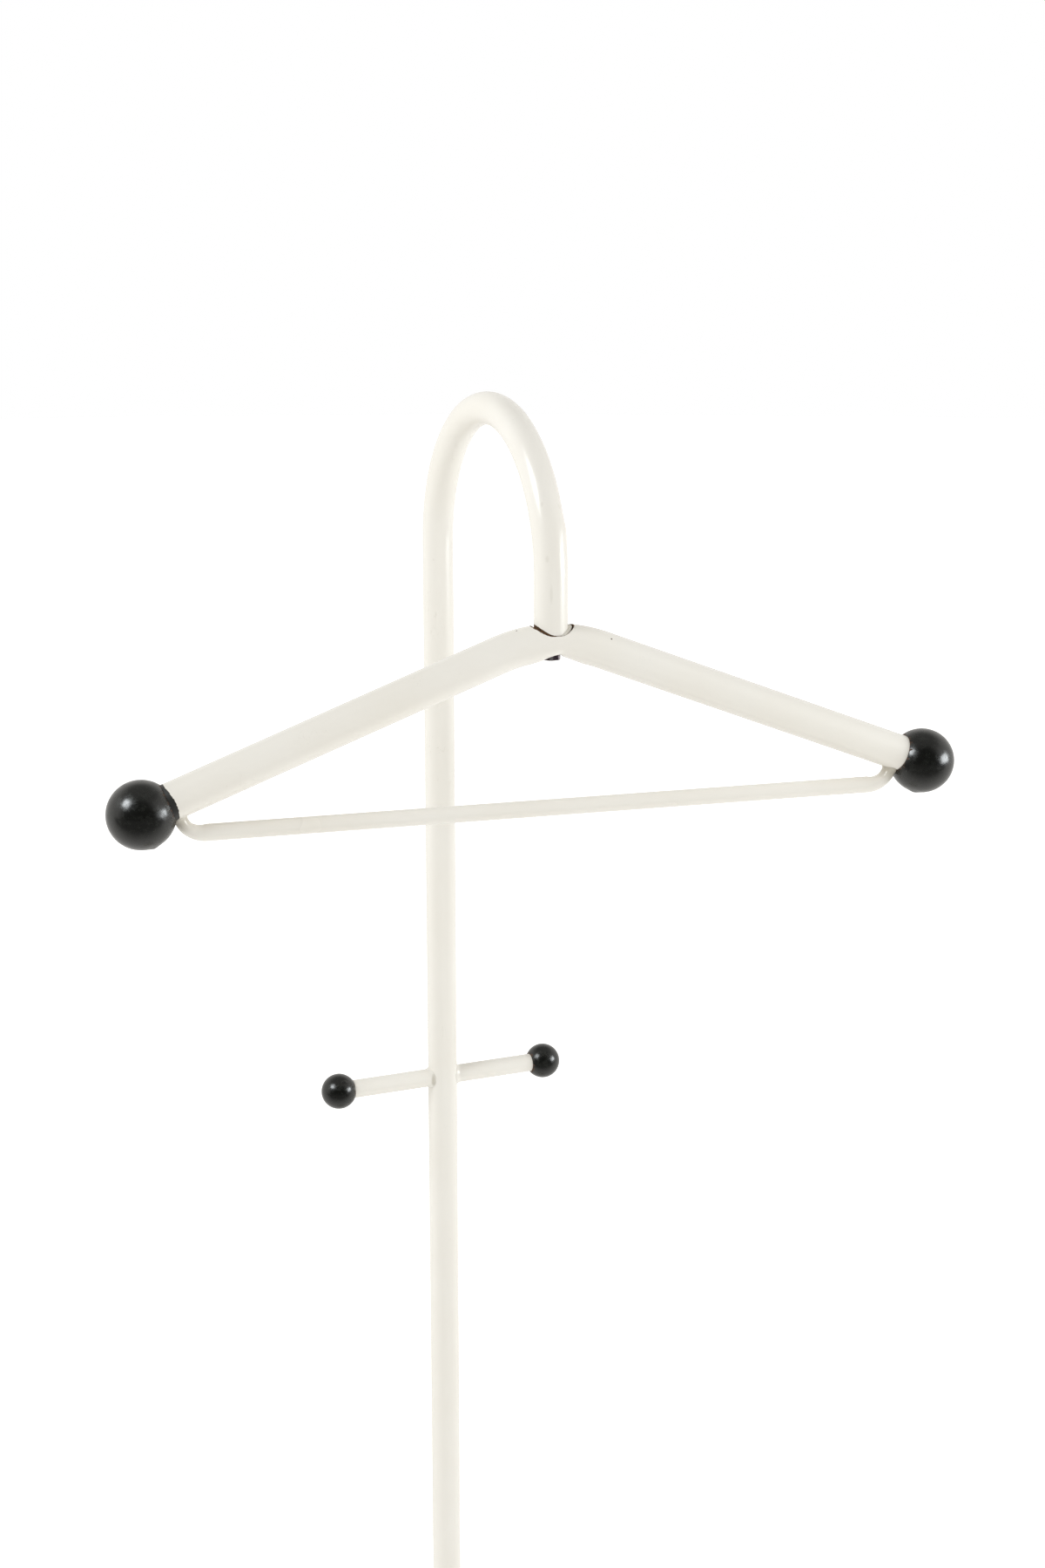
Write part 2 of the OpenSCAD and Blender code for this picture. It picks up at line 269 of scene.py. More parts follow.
# %% Enamel
ENAMEL_LIGHT = "#F1EEE8"
ENAMEL_YELLOWED = "#EBE6DC"
ENAMEL_IOR = 1.52
RUST_AND_SHADOW_DARK = "#2B1A10"
RUST_AND_SHADOW_BROWN = "#6B4A26"
LACQUER_LAP = "#2A2A28"
CLOUD = 60 * MM
PATCH = 25 * MM
CRUMB = 0.6 * MM


def enamel(name, chips=(), stains_and_shade=(), rust=None, lap=None):
    """Ivory stove enamel, sprayed and baked. rust(tree, place) masks rust, on the hanger with a painted
    shadow line along the slot, and lap(tree, place) gives how far inside black lacquer a point lies."""
    material, tree, place = new_material(name)
    clouds = add(tree, "TexNoise", {"Vector": place, "Scale": 1 / CLOUD, "Detail": 3})
    patches = add(tree, "TexNoise", {"Vector": place, "Scale": 1 / PATCH, "Detail": 2})
    ragged = add(tree, "TexNoise", {"Vector": place, "Scale": 1 / CRUMB, "Detail": 3})
    body = add(tree, "Mix", {"Factor": clouds, "A": ENAMEL_LIGHT, "B": ENAMEL_YELLOWED}, data_type="RGBA")
    dirt_and_shade = stained_and_shaded(tree, place, patches, stains_and_shade, hairlines(tree, place, patches))
    # The grime tone also paints the shade in the corner at the peg.
    worn = add(tree, "Mix", {"Factor": dirt_and_shade, "A": body, "B": GRIME_AND_SHADE_TONE}, data_type="RGBA")
    black, chip_and_shadow = 0.0, knocked(tree, place, ragged, chips, pinheads(tree, place))
    if rust:
        chip_and_shadow = add(tree, "Math", (chip_and_shadow, rust(tree, place)), operation="MAXIMUM")
    if lap:
        black, chip_and_shadow = lapped(tree, place, ragged, lap, chip_and_shadow)
    # On the hanger this rust colour also paints the shadow line along the slot's front.
    rust_and_shadow_tone = add(tree, "ValToRGB", {"Fac": ragged}, stops=[(0.35, RUST_AND_SHADOW_DARK), (0.6, RUST_AND_SHADOW_BROWN)])
    colour = add(tree, "Mix", {"Factor": chip_and_shadow, "A": worn, "B": rust_and_shadow_tone}, data_type="RGBA")
    colour = add(tree, "Mix", {"Factor": black, "A": colour, "B": LACQUER_LAP}, data_type="RGBA")
    roughness, bump = film(tree, place, clouds, chip_and_shadow, black)
    shader = add(tree, "BsdfPrincipled", {"Base Color": colour, "Roughness": roughness, "Normal": bump,
                                          "IOR": ENAMEL_IOR})
    add(tree, "OutputMaterial", {"Surface": shader})
    return material


stove_enamel = enamel("stove_enamel_ivory")
print("plain enamel has", len(stove_enamel.node_tree.nodes), "nodes")

# %% [markdown]
# ## Rust on the hook's end
# The hook rubs in its slot, so its paint wore through just above the slot's edge. The rust could
# be a stain at a point, but its lower border is the slot's own outline. So that outline is worked
# out from the two tubes' radii, and the rust rises from it by a ragged width that changes round
# the hook. The shader first goes into the hanger's own frame, where the outline is simple.

# %% The slot's sizes, and the way into the hanger's frame
SLOT_X = 0.7 * MM
SLOT_EXTRA = 4.2 * MM
SLOT_R = COLUMN_R + 0.3 * MM
SWELL = 0.7 * MM


def in_hanger(tree, place):
    """A place in the hanger's own frame: whole, and as its X, Y and Z."""
    own = add(tree, "Mapping", {"Vector": place, "Location": PIVOT, "Rotation": (0, 0, HANGER_TURN)},
              vector_type="TEXTURE")
    parts = add(tree, "SeparateXYZ", {"Vector": own})
    return own, *(parts.outputs[axis] for axis in "XYZ")


print(f"slot {2 * SLOT_R / MM + SLOT_EXTRA / MM:.1f} mm long and {2 * SLOT_R / MM:.1f} mm wide")

# %% Rust on the hook
HOOK_RUST_LOW = 0.3 * MM
HOOK_RUST_RAGGED = 0.4 * MM
HOOK_RUST_GRAIN = 1.4 * MM


def slot_edge(tree, x, y):
    """The height of the slot's edge, where its outline meets the swollen tube of the hanger."""
    across = add(tree, "Math", (y, SLOT_R / COLUMN_R / (HANGER_R + SWELL)), operation="MULTIPLY")
    squared = add(tree, "Math", (across, across), operation="MULTIPLY")
    rest = add(tree, "Math", (1.0, squared), operation="SUBTRACT")
    round_back = add(tree, "Math", (rest,), operation="SQRT")
    rise = add(tree, "Math", (round_back, HANGER_R), operation="MULTIPLY")
    along = add(tree, "Math", (x, x), operation="MULTIPLY")
    drop = add(tree, "Math", (along, 1 / (2 * BEND_R)), operation="MULTIPLY")
    return add(tree, "Math", (rise, drop), operation="SUBTRACT")


def hook_rust(tree, place):
    """A mask of rust on the hook, just above the slot's edge, thick at its left and thin in front."""
    own, x, y, z = in_hanger(tree, place)
    ragged = add(tree, "TexNoise", {"Vector": own, "Scale": 1 / HOOK_RUST_GRAIN, "Detail": 4})
    along = add(tree, "MapRange", {"Value": x, "From Min": -9 * MM, "From Max": 1 * MM})
    width = add(tree, "ValToRGB", {"Fac": along}, stops=[(0.0, 1.0), (0.6, 0.55), (0.85, 0.35), (1.0, 0.0)])
    jagged = add(tree, "Math", (ragged, HOOK_RUST_RAGGED, HOOK_RUST_LOW), operation="MULTIPLY_ADD")
    top = add(tree, "Math", (width, jagged, slot_edge(tree, x, y)), operation="MULTIPLY_ADD")
    level = add(tree, "Math", (y,), operation="ABSOLUTE")
    near_hook = add(tree, "Math", (level, COLUMN_R + 1 * MM), operation="LESS_THAN")
    left = add(tree, "Math", (x, 0.5 * MM), operation="LESS_THAN")
    below = add(tree, "Math", (z, top), operation="LESS_THAN")
    here = add(tree, "Math", (near_hook, left), operation="MULTIPLY")
    return add(tree, "Math", (here, below), operation="MULTIPLY")


print("the hook's rust is up to", round((HOOK_RUST_LOW + HOOK_RUST_RAGGED) / MM, 1), "mm high")

# %% [markdown]
# ## Enamel of the column
# Hands and hangers leave marks where they touch: a streak and a smudge on the hook, two scuffs on
# the arch and a speck. Beside the peg a line of painted shade darkens the corner where the rod
# enters the column. Each is one soft spot, wide and tall as measured, and faint enough that the
# enamel still reads as white.

# %% Stains of the column
STAIN_STRENGTH = 0.22
MARKS = ((-3.4, -173.3, 1026.8, 1.2, 13), (-5.2, -171.6, 1045.2, 1.5, 5), (-5.5, -7.1, 1023.4, 0.9, 2),
         (-4.8, -163.7, 1072.7, 1.1, 5), (4.9, -164.3, 1071.2, 1.2, 5))
PEG_SIDE_X = -(COLUMN_R ** 2 - PEG_R ** 2) ** 0.5
# The spot beside the peg is painted shade, a dark crescent in the corner where the rod enters the column.
PEG_CORNER_SHADE = (PEG_SIDE_X - 0.9 * MM, -PEG_R - 0.1 * MM, PEG_Z, 1.9 * MM, 12 * MM, 1.0)
column_stains_and_shade = [(*(value * MM for value in mark), STAIN_STRENGTH) for mark in MARKS] + [PEG_CORNER_SHADE]
column_enamel = enamel("stove_enamel_ivory_column", stains_and_shade=column_stains_and_shade, rust=hook_rust)
print("stains on the column:", len(column_stains_and_shade))

# %% [markdown]
# ## Bare rusty steel
# The spray never reached deep inside the tubes, so their inner walls are bare and have rusted.
# Rust on mild steel is a matt, grainy crust that runs from near black to tan, and a coarse noise
# through a ramp of three browns gives it, with the same noise as its bump.

# %% Rusty steel
RUST_GRAIN = 1.2 * MM
raw_rust, tree, place = new_material("raw_steel_rusted")
crust = add(tree, "TexNoise", {"Vector": place, "Scale": 1 / RUST_GRAIN, "Detail": 5, "Roughness": 0.65})
colour = add(tree, "ValToRGB", {"Fac": crust}, stops=[(0.3, RUST_AND_SHADOW_DARK), (0.52, "#5A3C1E"), (0.7, "#8A6A3C")])
bump = add(tree, "Bump", {"Height": crust, "Strength": 0.5, "Distance": 0.15 * MM})
shader = add(tree, "BsdfPrincipled", {"Base Color": colour, "Roughness": 0.9, "Normal": bump})
add(tree, "OutputMaterial", {"Surface": shader})
print("rust grain", round(RUST_GRAIN / MM, 1), "mm")

# %% [markdown]
# ## Modelling helpers
# Each piece is made the way it would be by hand: add a primitive, go into edit mode, select some
# parts by where they are, and extrude, spin or bevel them. These helpers keep the selection and
# the mode in order, so that every step acts on the piece it is meant for, and nothing else.

# %% Begin a piece
def choose(piece):
    """Leaves a piece the only selected object, and the active one."""
    bpy.ops.object.select_all(action="DESELECT")
    bpy.context.view_layer.objects.active = piece
    piece.select_set(True)


def begin(name, primitive, **size):
    """Adds a primitive with nothing else selected, bakes its place and opens it in edit mode."""
    if bpy.context.object and bpy.context.object.mode != "OBJECT":
        bpy.ops.object.mode_set(mode="OBJECT")
    bpy.ops.object.select_all(action="DESELECT")
    primitive(align="WORLD", **size)
    piece = bpy.context.object
    piece.name = piece.data.name = name
    bpy.ops.object.transform_apply(location=True, rotation=True, scale=True)
    bpy.ops.object.mode_set(mode="EDIT")
    bpy.ops.mesh.select_all(action="SELECT")
    return piece


print("ready to model with", bpy.app.version_string)

# %% Select and extrude
PARTS = {"VERT": "verts", "EDGE": "edges", "FACE": "faces"}


def pick(piece, kind, test):
    """Selects only the vertices, edges or faces that pass the test; the piece is in edit mode."""
    bpy.ops.mesh.select_all(action="DESELECT")
    bpy.ops.mesh.select_mode(type=kind)
    mesh = bmesh.from_edit_mesh(piece.data)
    for part in getattr(mesh, PARTS[kind]):
        if test(part):
            part.select_set(True)
    bmesh.update_edit_mesh(piece.data)


def extrude(x, y, z):
    """Extrudes what is selected and moves it."""
    bpy.ops.mesh.extrude_region_move(TRANSFORM_OT_translate={"value": (x, y, z)})


print("can pick", ", ".join(PARTS.values()))

# %% Shape, modify and settle
NEAR = 1e-6
MERGE = 0.01 * MM


def outward():
    """Merges the open piece's doubles, turns its faces outwards and goes back to object mode."""
    bpy.ops.mesh.select_all(action="SELECT")
    bpy.ops.mesh.remove_doubles(threshold=MERGE)
    bpy.ops.mesh.normals_make_consistent(inside=False)
    bpy.ops.object.mode_set(mode="OBJECT")


def reshape(piece, move):
    """Moves every vertex to move(its place), as sculpting by hand would."""
    for vertex in piece.data.vertices:
        vertex.co = move(vertex.co.copy())
    piece.data.update()


def modify(piece, kind, **settings):
    """Adds one modifier and applies it."""
    choose(piece)
    modifier = piece.modifiers.new(kind.title(), kind)
    for name, value in settings.items():
        setattr(modifier, name, value)
    bpy.ops.object.modifier_apply(modifier=modifier.name)


def settle(piece, place=(0, 0, 0), turn=(0, 0, 0)):
    """Turns and moves a finished piece, and bakes that into its mesh."""
    choose(piece)
    piece.location = place
    piece.rotation_euler = turn
    bpy.ops.object.transform_apply(location=True, rotation=True, scale=True)


print("doubles merge under", round(MERGE / MM, 3), "mm")

# %% Finish a piece
SMOOTH = 35


def finish(piece, body, materials, nodes=(), smooth=SMOOTH):
    """Shades a piece, gives it its materials, hangs it on its body's empty and hides the imported nodes it
    stands for.
    """
    choose(piece)
    bpy.ops.object.shade_smooth_by_angle(angle=radians(smooth))
    kept = [polygon.material_index for polygon in piece.data.polygons]
    piece.data.materials.clear()
    for material in materials:
        piece.data.materials.append(material)
    for polygon, index in zip(piece.data.polygons, kept):
        polygon.material_index = min(index, len(materials) - 1)
    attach(piece, body)
    if nodes:
        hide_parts(*nodes)
    print(f"{piece.name}: {len(piece.data.polygons)} faces")


print("faces that meet at under", SMOOTH, "degrees are shaded as one")

# %% [markdown]
# ## The bent column
# The real tube is one straight length, bent round a former. The same is done here: a circle is
# drawn at the foot, extruded up the column, spun half a turn over the arch, and extruded down to
# the hook's end. The former left a small crease beside the arch, over the hook, which is sculpted
# in. Solidify then gives the tube its wall, so the open end in the slot is a real one.

# %% Bend the column
RING = 72
ARCH_STEPS = 72
FORMER_MARK = Vector((9.0, -167.5, 1060.0)) * MM
FORMER_OUT = Vector((0.92, -0.39, 0))
FORMER_RISE = 0.8 * MM
FORMER_REACH = 9 * MM


def creased(point):
    """Raises the small crease beside the arch."""
    near = max(0.0, 1 - (point - FORMER_MARK).length / FORMER_REACH)
    return point + FORMER_OUT * FORMER_RISE * near ** 1.5


column = begin("bent_column", bpy.ops.mesh.primitive_circle_add, vertices=RING, radius=COLUMN_R,
               fill_type="NOTHING", location=(0, 0, PLATE_TOP_Z))
extrude(0, 0, ARCH_Z - PLATE_TOP_Z)
bpy.ops.mesh.spin(steps=ARCH_STEPS, angle=pi, center=(0, -ARCH_R, ARCH_Z), axis=(-1, 0, 0))
extrude(0, 0, HOOK_END_Z - ARCH_Z)
outward()
reshape(column, creased)
modify(column, "SOLIDIFY", thickness=COLUMN_WALL, offset=-1, material_offset=1, material_offset_rim=1)
finish(column, "stand", [column_enamel, raw_rust], ["column_tube"])
print("top of the arch at", round(max(v.co.z for v in column.data.vertices) / MM, 1), "mm")

# %% [markdown]
# ## The cross peg
# The peg is a plain rod pushed through the column and welded, then enamelled over. Under the
# paint the weld is a small smooth fillet. It could be a ring of its own, but then a seam would
# show, so the rod's own rings flare where they near the column.

# %% Peg with its fillets
FILLET = 0.9 * MM
FILLET_REACH = 2.5 * MM
FILLET_STEP = FILLET_REACH / 8
FILLET_RINGS = 20


def flare(point, middle, clearance, size=1.0):
    """Moves a point away from its rod's middle line, more so the nearer it is to the other tube."""
    near = max(0.0, min(1.0, 1 - clearance / (FILLET_REACH * size)))
    return point + (point - middle).normalized() * FILLET * size * near ** 2


peg = begin("cross_peg", bpy.ops.mesh.primitive_circle_add, vertices=48, radius=PEG_R,
            fill_type="NGON", location=(-PEG_END_X, 0, PEG_Z), rotation=(0, pi / 2, 0))
dense = COLUMN_R + FILLET_REACH
steps = [PEG_END_X - dense] + [FILLET_STEP] * FILLET_RINGS + [2 * (dense - FILLET_RINGS * FILLET_STEP)]
steps += [FILLET_STEP] * FILLET_RINGS + [PEG_END_X - dense]
for step in steps:
    extrude(step, 0, 0)
outward()
reshape(peg, lambda p: flare(p, Vector((p.x, 0, PEG_Z)), hypot(p.x, p.y) - COLUMN_R))
# The peg gets the same painted shade where it meets the column.
finish(peg, "stand", [enamel("stove_enamel_ivory_peg", stains_and_shade=[PEG_CORNER_SHADE])], ["peg_rod"])

# %% [markdown]
# ## The foot plate
# The foot is a steel disc with a rounded upper edge and a drilled, countersunk middle. It is
# built like a turned part: a cylinder whose upper edge is bevelled, and whose two faces are inset
# to the hole and bridged. Shoes and brooms chip the enamel along its edge, so the chips thicken
# towards the rim, and dust settles round the collar.

# %% Model the foot plate
EDGE_ROUND = 4 * MM
HOLE_R = 4.05 * MM
SINK_R = 8.05 * MM


def is_disc(face, level):
    """Tells the large flat faces of a turned part from its sides, by their level."""
    return len(face.verts) > 8 and abs(face.calc_center_median().z - level) < NEAR


plate = begin("foot_plate", bpy.ops.mesh.primitive_cylinder_add, vertices=192, radius=PLATE_R,
              depth=PLATE_TOP_Z - PLATE_LOW_Z, location=(0, 0, (PLATE_TOP_Z + PLATE_LOW_Z) / 2))
pick(plate, "EDGE", lambda e: all(v.co.z > PLATE_TOP_Z - NEAR for v in e.verts))
bpy.ops.mesh.bevel(offset=EDGE_ROUND, segments=8, affect="EDGES")
for level, rim, hole in ((PLATE_TOP_Z, PLATE_R - EDGE_ROUND, HOLE_R), (PLATE_LOW_Z, PLATE_R, SINK_R)):
    pick(plate, "FACE", lambda f: is_disc(f, level))
    bpy.ops.mesh.inset(thickness=rim - hole * 4)
    bpy.ops.mesh.inset(thickness=hole * 3)
    if hole == SINK_R:
        extrude(0, 0, SINK_R - HOLE_R)
        bpy.ops.transform.resize(value=(HOLE_R / SINK_R, HOLE_R / SINK_R, 1))
    bpy.ops.mesh.delete(type="FACE")
pick(plate, "EDGE", lambda e: e.is_boundary)
bpy.ops.mesh.bridge_edge_loops()
outward()
print("foot", round(2 * PLATE_R / MM), "mm across")

# %% Enamel of the foot plate
EDGE_CHIPS = 0.77
EDGE_PATCH = 11 * MM
DUST = (0, 0, PLATE_TOP_Z, 36 * MM, 72 * MM, 1.1)


def edge_wear(tree, place):
    """A mask of chips along the plate's rounded edge."""
    flat = add(tree, "VectorMath", (place, (1, 1, 0)), operation="MULTIPLY")
    out = add(tree, "VectorMath", (flat,), operation="LENGTH")
    near = add(tree, "MapRange", {"Value": out, "From Min": PLATE_R - EDGE_ROUND, "From Max": PLATE_R,
                                  "To Max": 0.15})
    patch = add(tree, "TexNoise", {"Vector": place, "Scale": 1 / EDGE_PATCH, "Detail": 6, "Roughness": 0.6})
    worn = add(tree, "Math", (patch, near), operation="ADD")
    return add(tree, "Math", (worn, EDGE_CHIPS), operation="GREATER_THAN")


plate_enamel = enamel("stove_enamel_ivory_plate", stains_and_shade=[DUST], rust=edge_wear)
finish(plate, "stand", [plate_enamel], ["base_plate"])

# %% [markdown]
# ## The collar
# The column stands in a short bored ring, turned from bar with a rounded upper edge. It is made
# like the plate: both faces of a cylinder are inset to the bore and taken away, and the two rims
# are bridged.

# %% Model the collar
COLLAR_BORE = COLUMN_R + 0.05 * MM
COLLAR_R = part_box("foot_collar")[1][0]
COLLAR_TOP_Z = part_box("foot_collar")[1][2]
COLLAR_ROUND = 3.6 * MM

collar = begin("foot_collar_ring", bpy.ops.mesh.primitive_cylinder_add, vertices=96, radius=COLLAR_R,
               depth=COLLAR_TOP_Z - PLATE_TOP_Z, location=(0, 0, (COLLAR_TOP_Z + PLATE_TOP_Z) / 2))
for level in (COLLAR_TOP_Z, PLATE_TOP_Z):
    pick(collar, "FACE", lambda f: is_disc(f, level))
    bpy.ops.mesh.inset(thickness=COLLAR_R - COLLAR_BORE)
    bpy.ops.mesh.delete(type="FACE")
pick(collar, "EDGE", lambda e: e.is_boundary)
bpy.ops.mesh.bridge_edge_loops()
pick(collar, "EDGE", lambda e: all(v.co.z > COLLAR_TOP_Z - NEAR and v.co.xy.length > COLLAR_R - MERGE
                                   for v in e.verts))
bpy.ops.mesh.bevel(offset=COLLAR_ROUND, segments=8, affect="EDGES")
outward()
finish(collar, "stand", [stove_enamel], ["foot_collar"])

# %% [markdown]
# ## The weld round the collar
# A weld laid by hand is a row of overlapping ripples, and paint softens them. A torus stands
# where the corner is, its surface is rippled and smoothed a little, and the half that would lie
# inside the plate is cut off flat.

# %% Weld bead
BEAD_R = 2.0 * MM
RIPPLES = 46
RIPPLE_RISE = 0.22 * MM
RIPPLE_LEAN = 60


def rippled(point):
    """Swells the bead in ripples that lean a little as they climb."""
    ripple = abs(sin(RIPPLES / 2 * atan2(point.y, point.x) + RIPPLE_LEAN * point.z))
    return point + Vector((point.x, point.y, COLLAR_R)).normalized() * RIPPLE_RISE * ripple


bead = begin("collar_weld_bead", bpy.ops.mesh.primitive_torus_add, major_segments=276, minor_segments=14,
             major_radius=COLLAR_R, minor_radius=BEAD_R, location=(0, 0, PLATE_TOP_Z))
bpy.ops.object.mode_set(mode="OBJECT")
reshape(bead, rippled)
modify(bead, "SMOOTH", factor=0.5, iterations=2)
bpy.ops.object.mode_set(mode="EDIT")
bpy.ops.mesh.select_all(action="SELECT")
bpy.ops.mesh.bisect(plane_co=(0, 0, PLATE_TOP_Z), plane_no=(0, 0, 1), clear_inner=True, use_fill=True)
outward()
finish(bead, "stand", [stove_enamel])

# %% [markdown]
# ## The felt pad
# A disc of pressed wool felt keeps the foot from scratching a floor. Pressed felt is matt and has
# no weave, only a mottle of light and dark fibres. Real fibres are too fine to show, so the mottle
# is drawn as coarse as it needs to be seen. Its cut edge frays, so the rim's points are moved by a
# noise of fractions of a millimetre.

# %% Felt
def soft_stuff(name, dark, light, rough, grain, depth):
    """Felt or nylon: two tones mixed by a grain of the given size, with a bump of the given depth."""
    material, tree, place = new_material(name)
    fibre = add(tree, "TexNoise", {"Vector": place, "Scale": 1 / grain, "Detail": 6, "Roughness": 0.7})
    colour = add(tree, "ValToRGB", {"Fac": fibre}, stops=[(0.35, dark), (0.65, light)])
    bump = add(tree, "Bump", {"Height": fibre, "Strength": 0.6, "Distance": depth})
    shader = add(tree, "BsdfPrincipled", {"Base Color": colour, "Roughness": rough, "Normal": bump})
    add(tree, "OutputMaterial", {"Surface": shader})
    return material


wool_felt = soft_stuff("wool_felt_pressed", "#45443F", "#77756D", 0.95, 1.3 * MM, 0.5 * MM)
print("made", wool_felt.name)

# %% Model the pad
PAD_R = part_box("foot_pad")[1][0]
FRAY_IN = 0.3 * MM
FRAY = 0.28 * MM
FRAY_GRAIN = 2.5 * MM


def fray(point):
    """Roughens the cut edge of the felt by fractions of a millimetre."""
    away = point.xy.length
    if away < PAD_R - 1 * MM:
        return point
    loose = noise.noise(point / FRAY_GRAIN) * FRAY
    return Vector((point.x * (1 + loose / away), point.y * (1 + loose / away), point.z))


pad = begin("felt_pad", bpy.ops.mesh.primitive_cylinder_add, vertices=360, radius=PAD_R - FRAY_IN,
            depth=PLATE_LOW_Z, location=(0, 0, PLATE_LOW_Z / 2))
for level in (0, PLATE_LOW_Z):
    pick(pad, "FACE", lambda f: is_disc(f, level))
    bpy.ops.mesh.inset(thickness=4 * MM)
pick(pad, "EDGE", lambda e: abs((e.verts[0].co - e.verts[1].co).z) > 1 * MM)
bpy.ops.mesh.subdivide(number_cuts=3)
outward()
reshape(pad, fray)
finish(pad, "stand", [wool_felt], ["foot_pad"], smooth=60)

# %% [markdown]
# ## The hanger's shoulders
# The hanger is another bent tube. It is drawn lying in its own frame and turned on to the hook at
# the end. The bending former squashed the inside of the bend into a blunt V and pushed the tube a
# little wider, and that is sculpted into the middle rings.

# %% Bend the shoulders
PRESS_DEPTH = 3.5 * MM
PRESS_HALF = 18 * MM / BEND_R
PRESS_MIDDLE = asin(4 * MM / BEND_R)
PRESS_FADE = 1.6
ARM_REACH = ARM_LEN + BALL_GRIP
LEFT_END = Vector((-ARM_X - ARM_REACH * cos(SLOPE), 0, ARM_Z - ARM_REACH * sin(SLOPE)))


def pressed(point):
    """Swells a bend ring to the front and back, and squashes its lower half by the former's mark."""
    angle = atan2(point.x, point.z + BEND_R)
    if abs(angle) < SLOPE:
        point.y *= 1 + SWELL / HANGER_R * (1 - (angle / SLOPE) ** 2) ** 2
    from_centre = Vector((point.x, 0, point.z + BEND_R))
    height = from_centre.length - BEND_R
    away = abs(angle - PRESS_MIDDLE) / PRESS_HALF
    if height >= 0 or away >= 1:
        return point
    shorter = (HANGER_R - PRESS_DEPTH * (1 - away) ** PRESS_FADE) / HANGER_R
    from_centre *= (BEND_R + height * shorter) / from_centre.length
    return Vector((from_centre.x, point.y, from_centre.z - BEND_R))


shoulders = begin("hanger_shoulders", bpy.ops.mesh.primitive_circle_add, vertices=96, radius=HANGER_R,
                  fill_type="NOTHING", location=LEFT_END, rotation=(0, pi / 2 - SLOPE, 0))
extrude(-ARM_X - LEFT_END.x, 0, ARM_Z - LEFT_END.z)
bpy.ops.mesh.spin(steps=84, angle=2 * SLOPE, center=(0, 0, -BEND_R), axis=(0, -1, 0))
extrude(-ARM_X - LEFT_END.x, 0, LEFT_END.z - ARM_Z)
outward()
reshape(shoulders, pressed)
modify(shoulders, "SOLIDIFY", thickness=HANGER_WALL, offset=-1, material_offset=1, material_offset_rim=1)
print("shoulders span", round(max(v.co.x for v in shoulders.data.vertices) * 2 / MM, 1), "mm")

# %% [markdown]
# ## Slot and hole
# The hook's end drops into a long slot in the hanger's top, and the bolt's bush fills a round hole
# under it. Both are cut with booleans, as a milling cutter would. The tube was slotted before it
# was sprayed, so the cut walls and the floor below the slot get enamel, and the rest of the inner
# wall stays bare.

# %% Cut the slot and the bush's hole
SLOT_FLOOR_Z = 0.5 * MM
SLOT_CUTTER_H = 20 * MM
BUSH_HOLE_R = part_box("hanger_boss")[1][0] + 0.05 * MM
HOLE_CUTTER_H = 12 * MM
HOLE_CUTTER_Z = -8 * MM

slot_cutter = begin("slot_cutter", bpy.ops.mesh.primitive_cylinder_add, vertices=96, radius=SLOT_R,
                    depth=SLOT_CUTTER_H, location=(0, 0, SLOT_FLOOR_Z + SLOT_CUTTER_H / 2))
for side in (-1, 1):
    pick(slot_cutter, "VERT", lambda v: v.co.x * side > NEAR)
    bpy.ops.transform.translate(value=(side * SLOT_EXTRA / 2, 0, 0))
outward()
settle(slot_cutter, place=(SLOT_X, 0, 0))
hole_cutter = begin("hole_cutter", bpy.ops.mesh.primitive_cylinder_add, vertices=72, radius=BUSH_HOLE_R,
                    depth=HOLE_CUTTER_H, location=(0, 0, HOLE_CUTTER_Z))
outward()
for cutter in (slot_cutter, hole_cutter):
    modify(shoulders, "BOOLEAN", operation="DIFFERENCE", object=cutter, solver="EXACT")
    bpy.data.objects.remove(cutter)
print("faces with the slot cut:", len(shoulders.data.polygons))

# %% Spray the cut walls
SPRAY_DEPTH = -2 * MM
SPRAY_HALF = 17 * MM
ON_WALL = 0.05 * MM


def slot_distance(x, y):
    """Level distance from the slot's outline; negative inside it."""
    return hypot(max(abs(x - SLOT_X) - SLOT_EXTRA / 2, 0), y) - SLOT_R


for polygon in shoulders.data.polygons:
    x, y, z = polygon.center
    cut_slot = z > SLOT_FLOOR_Z and abs(slot_distance(x, y)) < ON_WALL
    cut_hole = z < 0 and abs(hypot(x, y) - BUSH_HOLE_R) < ON_WALL
    sprayed_inside = z > SPRAY_DEPTH and abs(x) < SPRAY_HALF
    if cut_slot or cut_hole or sprayed_inside:
        polygon.material_index = 0
print("faces left bare:", sum(p.material_index for p in shoulders.data.polygons))

# %% [markdown]
# ## Rust and painted shadow round the slot
# Paint is thin along a sharp cut edge and chips off where the hook rubs it. A thin ragged band
# follows the slot's outline on the outside: rust at the slot's ends, and along the front a painted
# shadow where the hook meets the edge. The cut wall itself is rusty at the slot's two ends, where
# water stands, and painted at the back. The band is worked out from the distance to the slot, in
# the hanger's own frame, so it turns with the hanger.

# %% Rust and painted shadow along the slot
SLOT_BAND_WIDE = 1.1 * MM
SLOT_BAND_GRAIN = 1.1 * MM
RUSTY_END_X = 9 * MM
PAINTED_BACK_Y = 1.7 * MM


def slot_away(tree, x, y):
    """Level distance from the slot's middle line."""
    past_middle = add(tree, "Math", (x, SLOT_X), operation="SUBTRACT")
    past_middle = add(tree, "Math", (past_middle,), operation="ABSOLUTE")
    beyond = add(tree, "Math", (past_middle, SLOT_EXTRA / 2), operation="SUBTRACT")
    beyond = add(tree, "Math", (beyond, 0.0), operation="MAXIMUM")
    across = add(tree, "Math", (y, y), operation="MULTIPLY")
    squares = add(tree, "Math", (beyond, beyond, across), operation="MULTIPLY_ADD")
    return add(tree, "Math", (squares,), operation="SQRT")


